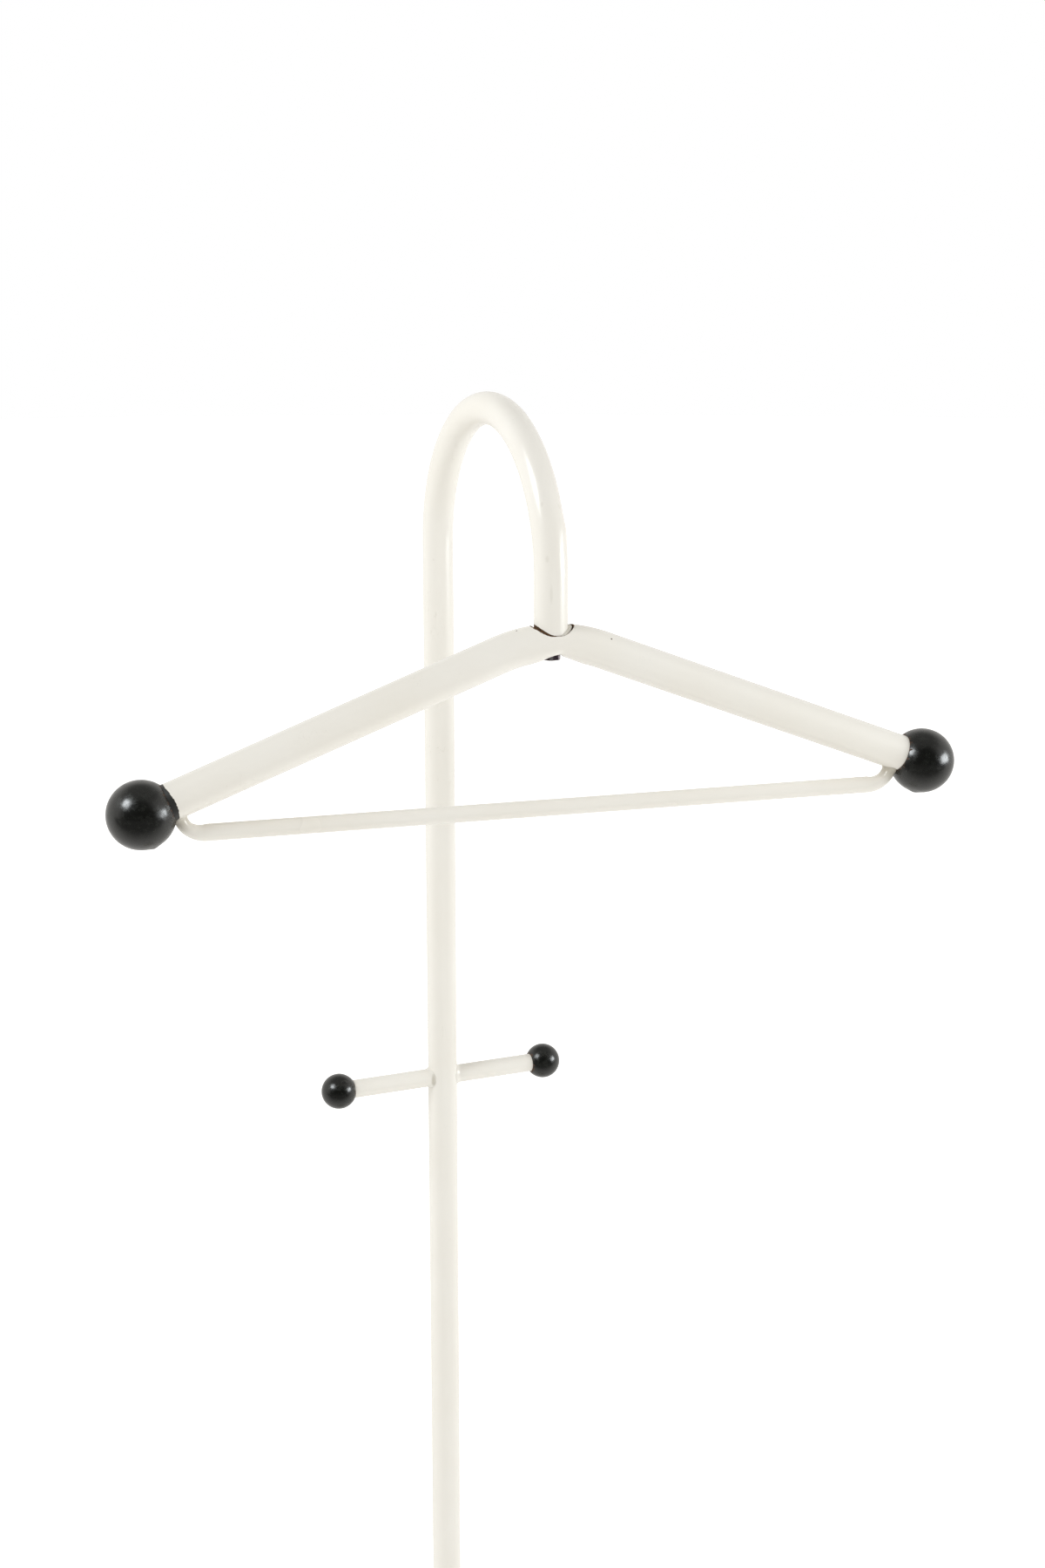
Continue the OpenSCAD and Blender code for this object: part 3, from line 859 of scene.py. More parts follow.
def slot_rust_and_shadow(tree, place):
    """A mask along the slot, widest at its left end and in front, hardly there at the back: rust at the ends,
    painted shadow along the front.
    """
    own, x, y, z = in_hanger(tree, place)
    ragged = add(tree, "TexNoise", {"Vector": own, "Scale": 1 / SLOT_BAND_GRAIN, "Detail": 4})
    along = add(tree, "MapRange", {"Value": x, "From Min": -11 * MM, "From Max": 13 * MM})
    width = add(tree, "ValToRGB", {"Fac": along}, stops=[
        (0.0, 1.3), (0.12, 0.6), (0.3, 0.2), (0.5, 0.2), (0.6, 0.1), (0.85, 0.15), (0.95, 0.5)])
    behind = add(tree, "MapRange", {"Value": y, "From Min": 1 * MM, "From Max": 4 * MM, "To Min": 1.0,
                                    "To Max": 0.1})
    widest = add(tree, "Math", (width, behind), operation="MULTIPLY")
    jagged = add(tree, "Math", (ragged, SLOT_BAND_WIDE), operation="MULTIPLY")
    band = add(tree, "Math", (widest, jagged), operation="MULTIPLY")
    border = add(tree, "Math", (band, SLOT_R + 0.02 * MM), operation="ADD")
    line = add(tree, "Math", (slot_away(tree, x, y), border), operation="LESS_THAN")
    in_front = add(tree, "Math", (ragged, -1.2 * MM, y), operation="MULTIPLY_ADD")
    in_front = add(tree, "Math", (in_front, PAINTED_BACK_Y), operation="LESS_THAN")
    at_end = add(tree, "Math", (x, RUSTY_END_X), operation="GREATER_THAN")
    open_steel = add(tree, "Math", (in_front, at_end), operation="MAXIMUM")
    mask = add(tree, "Math", (line, open_steel), operation="MULTIPLY")
    upper = add(tree, "Math", (z, 0.0), operation="GREATER_THAN")
    return add(tree, "Math", (mask, upper), operation="MULTIPLY")


print("rust line up to", round(SLOT_BAND_WIDE / MM, 1), "mm wide")

# %% [markdown]
# ## Lacquer on the left shoulder
# When the left ball was touched up, black lacquer ran on to the tube and dried with a curved,
# ragged border. The shader measures how far along the arm a point lies from the ball, and how far
# round the tube, and is black up to a border that bows with the second.

# %% Enamel of the hanger
LAP_END = 15.5 * MM
LAP_BOW = 2.0 * MM
LAP_JAGGED = 1.2 * MM
LAP_GRAIN = 2.4 * MM
CHIPS = [(*on_hook(-19.4 * MM, -2.2 * MM, 7.6 * MM), 0.5 * MM),
         (*on_hook(31.4 * MM, -6.7 * MM, 1.5 * MM), 0.55 * MM)]


def lacquer_lap(tree, place):
    """How far inside the lacquer that ran from the left ball on to the tube a point lies."""
    start = on_hook(-BALL_X, 0, BALL_Z)
    inward = on_hook(cos(SLOPE), 0, sin(SLOPE)) - PIVOT
    across = on_hook(0, 1, 0) - PIVOT
    offset = add(tree, "VectorMath", (place, start), operation="SUBTRACT")
    along = add(tree, "VectorMath", (offset, inward), operation="DOT_PRODUCT")
    side = add(tree, "VectorMath", (offset, across), operation="DOT_PRODUCT")
    side = add(tree, "Math", (side, 1 / HANGER_R), operation="MULTIPLY")
    bowed = add(tree, "Math", (side, side), operation="MULTIPLY")
    edge = add(tree, "Math", (bowed, LAP_BOW, LAP_END), operation="MULTIPLY_ADD")
    ragged = add(tree, "TexNoise", {"Vector": offset, "Scale": 1 / LAP_GRAIN, "Detail": 4})
    edge = add(tree, "Math", (ragged, LAP_JAGGED, edge), operation="MULTIPLY_ADD")
    return add(tree, "Math", (edge, along), operation="SUBTRACT")


# The hanger's rust mask also holds a painted shadow line along the front of the slot.
hanger_enamel = enamel("stove_enamel_ivory_hanger", chips=CHIPS, rust=slot_rust_and_shadow, lap=lacquer_lap)
settle(shoulders, place=PIVOT, turn=(0, 0, HANGER_TURN))
finish(shoulders, "hanger", [hanger_enamel, raw_rust], ["hanger_tube"])

# %% [markdown]
# ## The guide in the slot
# A ring of natural nylon fills the slot round the hook's end and keeps it from rattling. Nylon is
# a milky off-white, smooth but not glossy. The ring's top follows the hanger's round back, a
# little below the slot's edge, so it is drawn as two loops, the slot's outline and the hook's,
# bridged, laid under that surface and thickened downwards.

# %% Draw the guide's ring
GUIDE_SHORT = 1.0 * MM
GUIDE_OUTER_R = SLOT_R - 0.03 * MM
GUIDE_INNER_R = COLUMN_R + 0.15 * MM
guide = begin("slot_guide", bpy.ops.mesh.primitive_circle_add, vertices=96, radius=GUIDE_OUTER_R,
              fill_type="NOTHING")
for side, short in ((-1, 0), (1, GUIDE_SHORT)):
    pick(guide, "VERT", lambda v: v.co.x * side > NEAR)
    bpy.ops.transform.translate(value=(side * SLOT_EXTRA / 2 - short, 0, 0))
bpy.ops.mesh.select_all(action="SELECT")
bpy.ops.transform.translate(value=(SLOT_X, 0, 0))
bpy.ops.mesh.select_all(action="DESELECT")
bpy.ops.mesh.primitive_circle_add(vertices=96, radius=GUIDE_INNER_R, fill_type="NOTHING")
bpy.ops.mesh.select_all(action="SELECT")
bpy.ops.mesh.bridge_edge_loops(number_cuts=2)
outward()
print("guide ring:", len(guide.data.polygons), "faces")

# %% Lay it in the slot
GUIDE_BELOW = 1.5 * MM
GUIDE_RISE = 1.0 * MM
GUIDE_RISE_BY = 9 * MM
GUIDE_THICK = 2 * MM


def under_edge(point):
    """Lays a point of the ring under the slot's edge, and higher towards its right end."""
    round_back = HANGER_R * (1 - (point.y / (HANGER_R + SWELL)) ** 2) ** 0.5
    height = round_back - point.x ** 2 / (2 * BEND_R) - GUIDE_BELOW
    return Vector((point.x, point.y, height + GUIDE_RISE * max(0.0, min(1.0, point.x / GUIDE_RISE_BY))))


reshape(guide, under_edge)
bpy.ops.object.mode_set(mode="EDIT")
bpy.ops.mesh.select_all(action="SELECT")
extrude(0, 0, -GUIDE_THICK)
outward()
settle(guide, place=PIVOT, turn=(0, 0, HANGER_TURN))
natural_nylon = soft_stuff("nylon_natural", "#E4DFD2", "#EFECE3", 0.5, 1.0 * MM, 0.02 * MM)
finish(guide, "hanger", [natural_nylon])

# %% [markdown]
# ## The trouser bar
# A thin rod, bent up at both ends and welded to the shoulders' undersides. It is drawn the same
# way as the tubes: from its left end round the first bend, straight across, and round the second.
# The real rod was bent tighter than it liked, so its bends are flattened inside, and its middle
# bows a little. Its rings flare into the weld's fillet where they near the shoulders.

# %% Bend the trouser bar
BAR_BEND_R = 13 * MM
BAR_END_GAP = 14.8 * MM
BAR_HALF = BALL_X - BALL_R - BAR_END_GAP
BAR_R = 4.5 * MM
BAR_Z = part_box("trouser_bar")[0][2] + BAR_R - PIVOT.z
BAR_TURN = pi / 2 + SLOPE

bar_end = Vector((-BAR_HALF - BAR_BEND_R * sin(BAR_TURN), 0, BAR_Z + BAR_BEND_R * (1 - cos(BAR_TURN))))
bar = begin("trouser_rail", bpy.ops.mesh.primitive_circle_add, vertices=40, radius=BAR_R, fill_type="NGON",
            location=bar_end, rotation=(0, pi / 2 + BAR_TURN, 0))
bpy.ops.mesh.spin(steps=40, angle=BAR_TURN, center=(-BAR_HALF, 0, BAR_Z + BAR_BEND_R), axis=(0, 1, 0))
extrude(2 * BAR_HALF, 0, 0)
bpy.ops.mesh.spin(steps=40, angle=BAR_TURN, center=(BAR_HALF, 0, BAR_Z + BAR_BEND_R), axis=(0, 1, 0))
outward()
print("trouser bar", round(2 * BAR_HALF / MM), "mm between its bends")

# %% Flatten the bends and weld the ends
SHOULDER_LINE = Vector((cos(SLOPE), 0, -sin(SLOPE)))
BAR_SQUASH = 2.0 * MM
BAR_BOW = 0.6 * MM
SQUASH_BY = radians(45)


def bar_worn(point):
    """Squashes the inside of the bar's bends, flares its ends into their welds, and bows its middle."""
    side = 1 if point.x > 0 else -1
    bow = Vector((0, 0, BAR_BOW * min(1.0, abs(point.x) / BAR_HALF) ** 2))
    if abs(point.x) < BAR_HALF:
        return point - bow
    to_arm = Vector((abs(point.x) - ARM_X, point.y, point.z - ARM_Z))
    clearance = (to_arm - SHOULDER_LINE * to_arm.dot(SHOULDER_LINE)).length - HANGER_R
    bend = Vector((side * BAR_HALF, 0, BAR_Z + BAR_BEND_R))
    spoke = Vector((point.x - bend.x, 0, point.z - bend.z))
    turned = min(1.0, abs(atan2(spoke.x, -spoke.z)) / SQUASH_BY)
    inner = max(0.0, (BAR_BEND_R + BAR_R - spoke.length) / (2 * BAR_R))
    squashed = point + spoke.normalized() * BAR_SQUASH * turned * inner
    return flare(squashed, bend + spoke.normalized() * BAR_BEND_R, clearance, 0.5) - bow


reshape(bar, bar_worn)
settle(bar, place=PIVOT, turn=(0, 0, HANGER_TURN))
print("lowest point of the bar at", round(min(v.co.z for v in bar.data.vertices) / MM, 1), "mm")

# %% Enamel of the bar
# Two soft tan spots darken the bar's ends, where they run up under the balls.
bar_end_darkening = [(*on_hook(side * (BALL_X - 19 * MM), 0, BALL_Z - 3 * MM), 11 * MM, 22 * MM, 1.1)
              for side in (-1, 1)]
bar_enamel = enamel("stove_enamel_ivory_bar", stains_and_shade=bar_end_darkening)
finish(bar, "hanger", [bar_enamel], ["trouser_bar"])

# %% [markdown]
# ## Black lacquer
# The balls are turned from beech and dipped in black lacquer. Dipped lacquer is a satin film with
# soft, broad highlights. Handling leaves it scuffed in patches, so the highlight breaks up, and
# it has flaked along the rim of the hole, where the tube was driven in. A ball's patterns are
# turned with it, so every rim flakes alike.

# %% Flakes and flecks
FLAKE_WIDE = 2.2 * MM
FLAKE_GRAIN = 1.6 * MM
FLECK_CELL = 2.6 * MM
FLECK_SIZE = 0.11


def rim_flakes(tree, local, parts, mouth):
    """A mask of bare wood round the hole: near the hole's axis, on its side, with a ragged edge."""
    flat = add(tree, "CombineXYZ", {"X": parts.outputs["X"], "Y": parts.outputs["Y"]})
    radius = add(tree, "VectorMath", (flat,), operation="LENGTH")
    ragged = add(tree, "TexNoise", {"Vector": local, "Scale": 1 / FLAKE_GRAIN, "Detail": 4})
    edge = add(tree, "MapRange", {"Value": ragged, "From Min": 0.42, "From Max": 0.75,
                                  "To Min": mouth, "To Max": mouth + FLAKE_WIDE})
    inside = add(tree, "Math", (radius, edge), operation="LESS_THAN")
    above = add(tree, "Math", (parts.outputs["Z"], 0.0), operation="GREATER_THAN")
    return add(tree, "Math", (inside, above), operation="MULTIPLY")


def pale_flecks(tree, local, parts):
    """A mask of small pale flecks, thicker on the half towards the tube."""
    cells = add(tree, "TexVoronoi", {"Vector": local, "Scale": 1 / FLECK_CELL})
    share = add(tree, "MapRange", {"Value": parts.outputs["Z"], "From Min": 2 * MM, "From Max": 15 * MM,
                                   "To Min": 0.99, "To Max": 0.85})
    lucky = add(tree, "Math", (cells.outputs["Color"], share), operation="GREATER_THAN")
    small = add(tree, "Math", (cells.outputs["Distance"], FLECK_SIZE), operation="LESS_THAN")
    return add(tree, "Math", (lucky, small), operation="MULTIPLY")


print(f"flecks of {2 * FLECK_SIZE * FLECK_CELL / MM:.1f} mm")

# %% Lacquer
LACQUER = "#0C0D0A"
LACQUER_SCUFFED = "#1C1E19"
LACQUER_FLECK = "#8F8D86"
WOOD_BARE = "#4A3424"
LACQUER_IOR = 1.56
SATIN = 0.22
SATIN_SCUFFED = 0.44
WOOD_MATT = 0.8
SCUFF = 3.5 * MM
GRIT = 0.9 * MM
FLAKE_SUNK = -4.0


def lacquer(name, centre, turn, mouth):
    """Dipped lacquer on one ball: centre and turn place its hole's axis, mouth is the hole's radius."""
    material, tree, place = new_material(name)
    local = add(tree, "Mapping", {"Vector": place, "Location": centre, "Rotation": turn},
                vector_type="TEXTURE")
    parts = add(tree, "SeparateXYZ", {"Vector": local})
    scuffs = add(tree, "TexNoise", {"Vector": local, "Scale": 1 / SCUFF, "Detail": 6, "Roughness": 0.7})
    scuffed = add(tree, "MapRange", {"Value": scuffs, "From Min": 0.48, "From Max": 0.75})
    flaked = rim_flakes(tree, local, parts, mouth)
    body = add(tree, "Mix", {"Factor": scuffed, "A": LACQUER, "B": LACQUER_SCUFFED}, data_type="RGBA")
    flecked = add(tree, "Mix", {"Factor": pale_flecks(tree, local, parts), "A": body, "B": LACQUER_FLECK},
                  data_type="RGBA")
    colour = add(tree, "Mix", {"Factor": flaked, "A": flecked, "B": WOOD_BARE}, data_type="RGBA")
    sheen = add(tree, "MapRange", {"Value": scuffed, "To Min": SATIN, "To Max": SATIN_SCUFFED})
    roughness = add(tree, "Mix", {"Factor": flaked, "A": sheen, "B": WOOD_MATT})
    grit = add(tree, "TexNoise", {"Vector": local, "Scale": 1 / GRIT, "Detail": 2})
    height = add(tree, "Math", (flaked, FLAKE_SUNK, grit), operation="MULTIPLY_ADD")
    bump = add(tree, "Bump", {"Height": height, "Strength": 0.25, "Distance": 0.05 * MM})
    shader = add(tree, "BsdfPrincipled", {"Base Color": colour, "Roughness": roughness, "Normal": bump,
                                          "IOR": LACQUER_IOR})
    add(tree, "OutputMaterial", {"Surface": shader})
    return material


print("lacquer is mixed anew for each ball")

# %% [markdown]
# ## The balls
# Every ball is modelled with the hole's axis upright: a sphere whose cap is removed down to the
# hole, whose rim is rounded over by a bevel, and whose hole goes down past the middle. The same
# ball, in two sizes, is then turned on to each of the four ends, each with its own mesh. Dipped
# lacquer is thick on a small ball, so the peg's are larger by their film. Under each shoulder
# ball the last of the lacquer gathered and dried as a low bead.

# %% Drill a ball
RIM_ROUND = 0.35 * MM


def drill(piece, radius, mouth, depth):
    """Takes the cap off a sphere, sinks the hole, and rounds the hole's rim."""
    rim_z = (radius ** 2 - mouth ** 2) ** 0.5
    pick(piece, "VERT", lambda v: v.co.z > rim_z - 0.1 * MM)
    bpy.ops.mesh.delete(type="VERT")
    pick(piece, "EDGE", lambda e: e.is_boundary)
    verts = bmesh.from_edit_mesh(piece.data).verts
    top = max(v.co.z for v in verts)
    wide = max(v.co.xy.length for v in verts if v.co.z > top - NEAR)
    extrude(0, 0, rim_z - top)
    bpy.ops.transform.resize(value=(mouth / wide, mouth / wide, 1))
    extrude(0, 0, -rim_z - depth)
    bpy.ops.mesh.edge_face_add()
    pick(piece, "EDGE", lambda e: all(abs(v.co.z - rim_z) < NEAR and v.co.xy.length < mouth + MERGE
                                      for v in e.verts))
    bpy.ops.mesh.bevel(offset=RIM_ROUND, segments=3, affect="EDGES")


print("rims rounded by", round(RIM_ROUND / MM, 2), "mm")

# %% Turn, lacquer and let it drip
DRIP = 0.6 * MM
DRIP_REACH = 4.5 * MM


def ball(name, radius, mouth, depth, place, turn, body, node, drip=None):
    """A drilled, lacquered ball. turn takes the hole's axis from +Z to where the tube comes from, and
    drip is the direction in which the wet lacquer gathered."""
    piece = begin(name, bpy.ops.mesh.primitive_uv_sphere_add, segments=96, ring_count=64, radius=radius)
    drill(piece, radius, mouth, depth)
    outward()
    settle(piece, place=place, turn=turn)
    if drip:
        down = Vector(drip).normalized()
        lowest = Vector(place) + down * radius
        reshape(piece, lambda p: p + down * DRIP * max(0.0, 1 - (p - lowest).length / DRIP_REACH) ** 1.5)
    finish(piece, body, [lacquer("lacquer_" + name, place, turn, mouth)], [node])


print("drips stand out by", round(DRIP / MM, 1), "mm")

# %% Turn the balls on to their ends
PEG_BALL_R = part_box("peg_ball_right")[1][1]
PEG_BALL_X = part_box("peg_ball_right")[1][0] - PEG_BALL_R
MOUTH_GAP = 0.05 * MM
FILM = 0.5 * MM
PEG_GRIP = 3 * MM
DRIPS = {"right": (-0.31, -0.12, -0.94), "left": (0.26, -0.35, -0.9)}
for side, word, half_turn in ((1, "right", 0), (-1, "left", pi)):
    ball("shoulder_knob_" + word, BALL_R, HANGER_R + MOUTH_GAP, BALL_GRIP, on_hook(side * BALL_X, 0, BALL_Z),
         (0, SLOPE - pi / 2, HANGER_TURN + half_turn), "hanger", "shoulder_ball_" + word, DRIPS[word])
    ball("peg_knob_" + word, PEG_BALL_R + FILM, PEG_R + MOUTH_GAP, PEG_GRIP,
         (side * (PEG_BALL_X + FILM), 0, PEG_Z), (0, -pi / 2, half_turn), "stand", "peg_ball_" + word)

# %% [markdown]
# ## Small metals
# The bolt is blackened steel gone brown with age, and spanners have worn its corners bright. The
# washer, bush and plugs are plain turned steel. All are metals, so they keep the default IOR, and
# what changes is their colour, their roughness and how much of them has browned to matt rust.

# %% Turned steel
WORN_FROM = 5.2 * MM
WORN_FULL = 5.4 * MM
BROWNING = 2 * MM
BROWN_MATT = 0.8
POLISHED = 0.3
STEEL_BRIGHT = "#BDB6BA"


def worn_corners(tree, place):
    """A mask of the bolt head's corners, where spanners wore the black off."""
    out = add(tree, "VectorMath", (place, (PIVOT.x, PIVOT.y, 0)), operation="SUBTRACT")
    flat = add(tree, "VectorMath", (out, (1, 1, 0)), operation="MULTIPLY")
    away = add(tree, "VectorMath", (flat,), operation="LENGTH")
    return add(tree, "MapRange", {"Value": away, "From Min": WORN_FROM, "From Max": WORN_FULL})


def turned_metal(name, dark, light, rough, rust, worn=None):
    """Turned steel. rust is the share that has browned, and worn(tree, place) masks bare, polished metal."""
    material, tree, place = new_material(name)
    stain = add(tree, "TexNoise", {"Vector": place, "Scale": 1 / BROWNING, "Detail": 4})
    body = add(tree, "ValToRGB", {"Fac": stain}, stops=[(0.35, dark), (0.65, light)])
    browned = add(tree, "MapRange", {"Value": stain, "From Min": 0.7 - rust, "From Max": 0.78 - rust})
    metal = add(tree, "Math", (1.0, browned), operation="SUBTRACT")
    colour = add(tree, "Mix", {"Factor": browned, "A": body, "B": RUST_AND_SHADOW_BROWN}, data_type="RGBA")
    roughness = add(tree, "Mix", {"Factor": browned, "A": rough, "B": BROWN_MATT})
    if worn:
        bare = worn(tree, place)
        colour = add(tree, "Mix", {"Factor": bare, "A": colour, "B": STEEL_BRIGHT}, data_type="RGBA")
        roughness = add(tree, "Mix", {"Factor": bare, "A": roughness, "B": POLISHED})
    bump = add(tree, "Bump", {"Height": stain, "Strength": 0.2, "Distance": 0.05 * MM})
    shader = add(tree, "BsdfPrincipled", {"Base Color": colour, "Metallic": metal, "Roughness": roughness,
                                          "Normal": bump})
    add(tree, "OutputMaterial", {"Surface": shader})
    return material


blackened_bolt = turned_metal("bolt_steel_blackened", "#2E252A", "#5B4D53", 0.36, 0.04, worn_corners)
plain_steel = turned_metal("turned_steel_plain", "#8E8C88", "#B4B3B0", 0.35, 0.0)
print("made", blackened_bolt.name, "and", plain_steel.name)

# %% [markdown]
# ## The pivot bolt
# Only the bolt's head shows, under the bend. Years of spanners have rounded its corners, and a
# rounded corner is what catches the light. It starts as a six-sided cylinder whose upright edges
# are bevelled wide and whose lower rim is bevelled small. The shank is drawn out of its top face.

# %% Bolt with rounded corners
bolt_low, bolt_high = (Vector(corner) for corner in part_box("pivot_bolt"))
HEAD_FLATS = 10 * MM
HEAD_R = HEAD_FLATS / 2 / cos(pi / 6)
HEAD_H = 3.2 * MM
HEAD_TOP_Z = bolt_low.z + HEAD_H
CORNER_ROUND = 1.3 * MM
RIM_BEVEL = 0.45 * MM
SHANK_R = 3 * MM
SHANK_CLEAR = 0.3 * MM
SHANK_NEAR = 0.5 * MM
BOLT_TURN = radians(8.3)


def round_shank(point):
    """Turns what stands above the head, and the ring it grows from, into a true cylinder."""
    if point.z < HEAD_TOP_Z + NEAR and (point - PIVOT).xy.length > SHANK_R + SHANK_NEAR:
        return point
    return Vector((*(PIVOT.xy + (point - PIVOT).xy.normalized() * SHANK_R), point.z))


bolt = begin("worn_pivot_bolt", bpy.ops.mesh.primitive_cylinder_add, vertices=6, radius=HEAD_R, depth=HEAD_H,
             rotation=(0, 0, BOLT_TURN - pi / 2), location=(PIVOT.x, PIVOT.y, bolt_low.z + HEAD_H / 2))
pick(bolt, "EDGE", lambda e: abs((e.verts[0].co - e.verts[1].co).z) > 1 * MM)
bpy.ops.mesh.bevel(offset=CORNER_ROUND, segments=5, affect="EDGES")
pick(bolt, "EDGE", lambda e: all(v.co.z < bolt_low.z + NEAR for v in e.verts))
bpy.ops.mesh.bevel(offset=RIM_BEVEL, segments=3, affect="EDGES")
pick(bolt, "FACE", lambda f: f.calc_center_median().z > HEAD_TOP_Z - NEAR)
bpy.ops.mesh.inset(thickness=HEAD_FLATS / 2 - SHANK_R - SHANK_CLEAR)
extrude(0, 0, bolt_high.z - HEAD_TOP_Z)
outward()
reshape(bolt, round_shank)
finish(bolt, "stand", [blackened_bolt], ["pivot_bolt"], smooth=50)

# %% [markdown]
# ## Hidden hardware
# The washer, bush, glide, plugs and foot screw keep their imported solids, whose shapes are right.
# They only get their metals and nylon.

# %% Dress the hardware
HARDWARE = {"pivot_washer": plain_steel, "hook_plug": plain_steel, "hanger_boss": plain_steel,
            "foot_plug": plain_steel, "foot_screw": plain_steel, "hanger_glide": natural_nylon}
for name, material in HARDWARE.items():
    mesh = frame["nodes"][name].data
    if not mesh.materials:
        mesh.materials.append(material)
    for index in range(len(mesh.materials)):
        mesh.materials[index] = material
print("hardware dressed:", ", ".join(HARDWARE))

# %% [markdown]
# ## The studio
# The stand is shown in a white studio: a white backdrop behind it, a pale floor, a large soft lamp
# at the upper left and another at the right. The room is darker on the camera's side and overhead,
# and that is what gives black lacquer its depth and white enamel its soft, slightly grey middle.
# The surround is one gradient round the compass, mixed with a ceiling overhead.

# %% Brightness of the room
FRONT = Vector((-0.357, -0.934, 0.0))
BACKDROP = 0.96
SIDES = 0.93
FRONT_ROOM = 0.64
MIRROR_FRONT = 0.1
CEILING = 0.4
WARM = (1.0, 0.983, 0.95)


def warm(level):
    """The room's warm white at a brightness."""
    return [level * channel for channel in WARM] + [1]


print(f"surround: backdrop {BACKDROP}, sides {SIDES}, front {FRONT_ROOM}, ceiling {CEILING}")

# %% Surround
world = bpy.data.worlds.new("white_studio")
bpy.context.scene.world = world
world.use_nodes = True
tree = world.node_tree
tree.nodes.clear()
path = add(tree, "LightPath")
towards = add(tree, "TexCoord").outputs["Generated"]
ahead = add(tree, "VectorMath", (towards, FRONT), operation="DOT_PRODUCT")
compass = add(tree, "MapRange", {"Value": ahead, "From Min": -1.0})
around = add(tree, "ValToRGB", {"Fac": compass}, stops=[
    (0.33, warm(BACKDROP)), (0.55, warm(SIDES)), (0.65, warm(SIDES)), (0.9, warm(FRONT_ROOM))])
upward = add(tree, "SeparateXYZ", {"Vector": towards}).outputs["Z"]
overhead = add(tree, "MapRange", {"Value": upward, "From Min": 0.5, "From Max": 0.85},
               interpolation_type="SMOOTHSTEP")
room = add(tree, "Mix", {"Factor": overhead, "A": around, "B": warm(CEILING)}, data_type="RGBA")
# A mirror sees the camera's side as a dark room
mirrored = add(tree, "MapRange", {"Value": compass, "From Min": 0.62, "From Max": 0.85, "To Min": 1.0,
                                  "To Max": MIRROR_FRONT}, interpolation_type="SMOOTHSTEP")
strength = add(tree, "Mix", {"Factor": path.outputs["Is Glossy Ray"], "A": 1.0, "B": mirrored})
lit = add(tree, "Background", {"Color": room, "Strength": strength})
white = add(tree, "Background", {"Color": (1, 1, 1, 1), "Strength": 1.0})
through = add(tree, "Math", (path.outputs["Is Camera Ray"], path.outputs["Is Transmission Ray"]),
              operation="MAXIMUM")
add(tree, "OutputWorld", {"Surface": add(tree, "MixShader", (through, lit, white))})
print("surround made of", len(tree.nodes), "nodes")

# %% [markdown]
# ## The floor
# A painted studio floor bounces light up under the hanger. The eye should see it as white as the
# backdrop, with only the stand's shadow on it, so what looks at it directly sees it lifted. What
# it throws on the stand is paint with a faint glow, and what mirrors it sees it dim towards the
# front, as the far end of a room is. From below it isn't there, so the foot can be looked at.

# %% Floor
FLOOR_NEAR = 1.0
FLOOR_FRONT = 0.2
FLOOR_FADE = 1.4
FLOOR_LIFT = 0.7
FLOOR_GLOW = 0.22
FLOOR_R = 14.0


def studio_floor():
    """Pale matt paint, as the eye, the stand and a mirror each see it."""
    material, tree, place = new_material("studio_floor_pale")
    path = add(tree, "LightPath")
    paint = add(tree, "BsdfDiffuse", {"Color": "#F4F4F2"})
    strength = add(tree, "Mix", {"Factor": path.outputs["Is Camera Ray"], "A": FLOOR_GLOW, "B": FLOOR_LIFT})
    lift = add(tree, "Emission", {"Color": (1, 1, 1, 1), "Strength": strength})
    seen = add(tree, "AddShader", (paint, lift))
    ahead = add(tree, "VectorMath", (place, FRONT), operation="DOT_PRODUCT")
    level = add(tree, "MapRange", {"Value": ahead, "From Min": 0.0, "From Max": FLOOR_FADE,
                                   "To Min": FLOOR_NEAR, "To Max": FLOOR_FRONT},
                interpolation_type="SMOOTHSTEP")
    dim = add(tree, "Emission", {"Color": warm(1), "Strength": level})
    mixed = add(tree, "MixShader", (path.outputs["Is Glossy Ray"], seen, dim))
    below = add(tree, "NewGeometry").outputs["Backfacing"]
    one_sided = add(tree, "MixShader", (below, mixed, add(tree, "BsdfTransparent")))
    add(tree, "OutputMaterial", {"Surface": one_sided})
    return material


floor = begin("studio_floor", bpy.ops.mesh.primitive_circle_add, vertices=64, radius=FLOOR_R,
              fill_type="NGON", location=(0, 0, -0.1 * MM))
bpy.ops.object.mode_set(mode="OBJECT")
floor.data.materials.append(studio_floor())
print("floor", round(2 * FLOOR_R), "m across")

# %% [markdown]
# ## The camera
# The camera stands a little to the left of the hook and above the shoulders, and looks slightly
# down, so the arch is seen from the side and the hanger from in front.

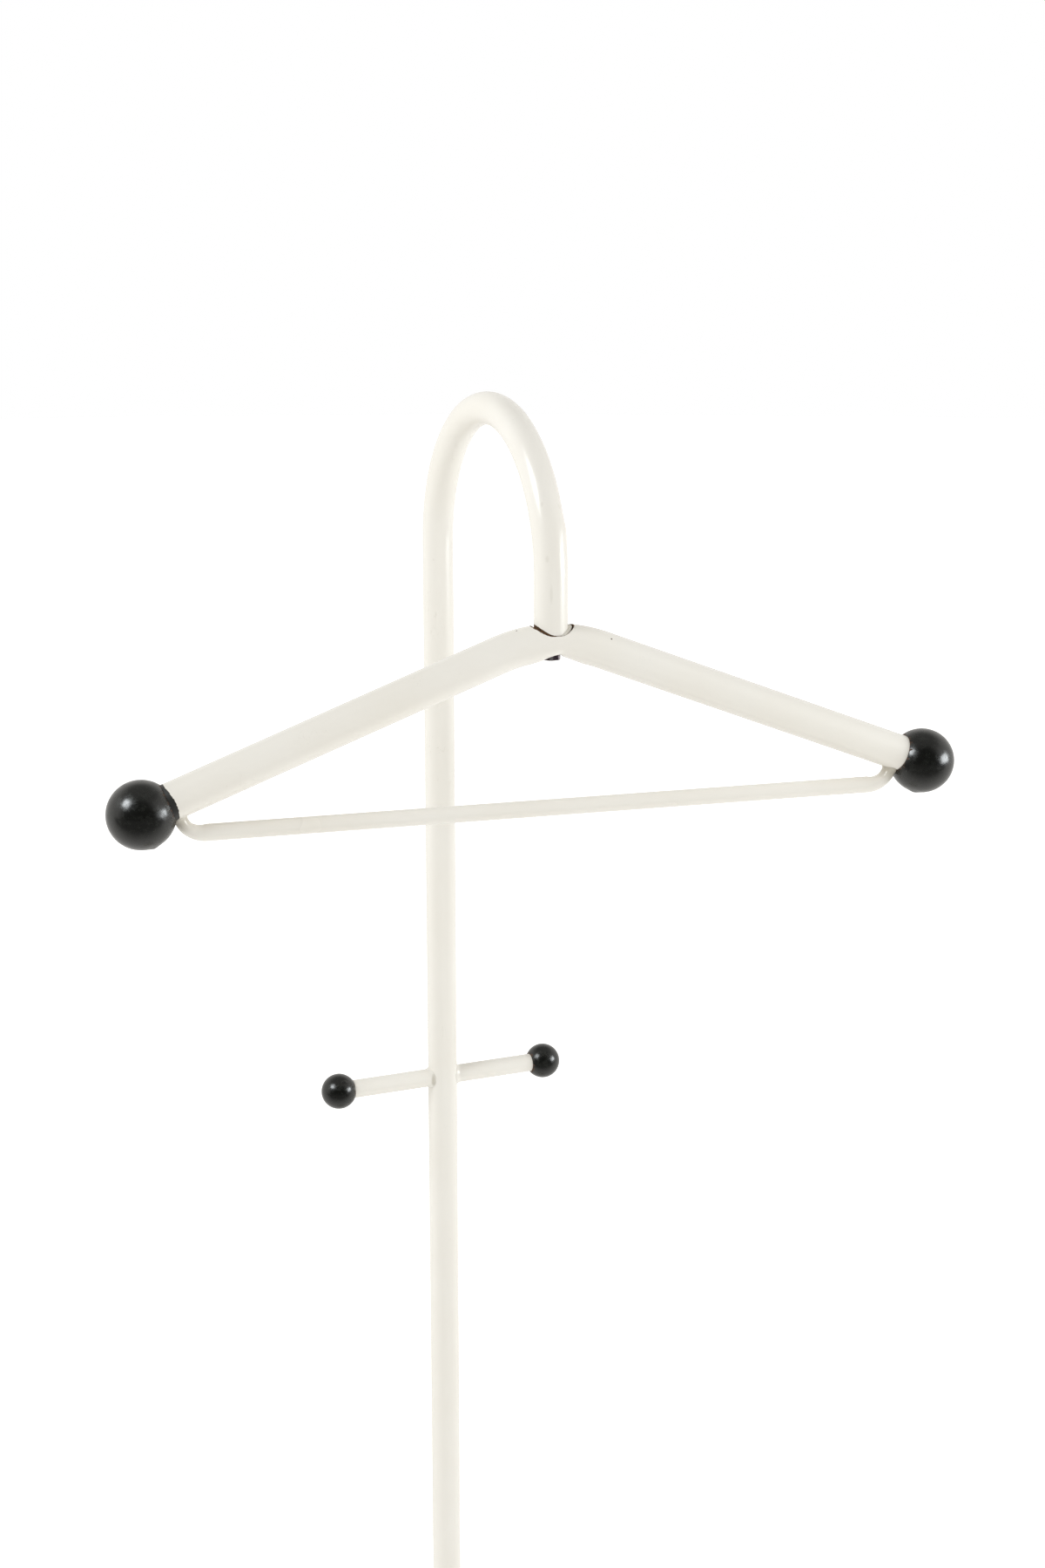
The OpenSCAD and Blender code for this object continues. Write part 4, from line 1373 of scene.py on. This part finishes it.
# %% Camera
CAMERA_PLACE = Vector((-0.4766, -1.2470, 1.2119))
CAMERA_TURN = radians(-23.05)
CAMERA_PITCH = radians(-13.71)
LENS = 52.37
camera = bpy.data.objects.new("camera", bpy.data.cameras.new("camera"))
bpy.context.scene.collection.objects.link(camera)
camera.location = CAMERA_PLACE
camera.rotation_euler = (pi / 2 + CAMERA_PITCH, 0, CAMERA_TURN)
camera.data.lens = LENS
bpy.context.scene.camera = camera
bpy.context.scene.view_settings.view_transform = "Standard"
bpy.context.view_layer.update()
print("camera", round((CAMERA_PLACE - PIVOT).length, 2), "m from the pivot")

# %% [markdown]
# ## The lamps
# Two soft boxes light the stand, one at the upper left and a small one level with it at the right.
# A lamp strong enough for the bright line on glossy enamel would bleach the paint, so each box has
# a second one behind it that is seen only in gloss. It sharpens the highlights and lights nothing.

# %% Lamps
AIM = Vector((0, -0.12, 0.95))
COOL = (0.93, 0.975, 1.0)
KEY_POWER = 29
SIDE_POWER = 7.4
GLINT_LEFT = 16
GLINT_RIGHT = 4.2
view = camera.matrix_world.to_3x3()
UPPER_LEFT = view @ Vector((-0.652, 0.501, 0.567))
RIGHT = view @ Vector((0.985, 0.05, 0.14))


def lamp(name, direction, distance, width, height, power, glint_only):
    """A soft box that looks at the hanger. A glint is seen in gloss, and lights nothing."""
    light = bpy.data.lights.new(name, "AREA")
    light.shape = "RECTANGLE"
    light.size = width
    light.size_y = height
    light.energy = power
    light.color = COOL
    holder = bpy.data.objects.new(name, light)
    bpy.context.scene.collection.objects.link(holder)
    holder.location = AIM + direction.normalized() * distance
    holder.rotation_euler = (-direction).to_track_quat("-Z", "Y").to_euler()
    holder.visible_diffuse = not glint_only
    print(name, power, "W")


lamp("soft_box_left", UPPER_LEFT, 2.6, 0.86, 0.86, KEY_POWER, False)
lamp("soft_box_right", RIGHT, 1.4, 0.70, 0.42, SIDE_POWER, False)
lamp("glint_left", UPPER_LEFT, 2.61, 1.2, 0.98, GLINT_LEFT, True)
lamp("glint_right", RIGHT, 1.41, 0.70, 0.42, GLINT_RIGHT, True)
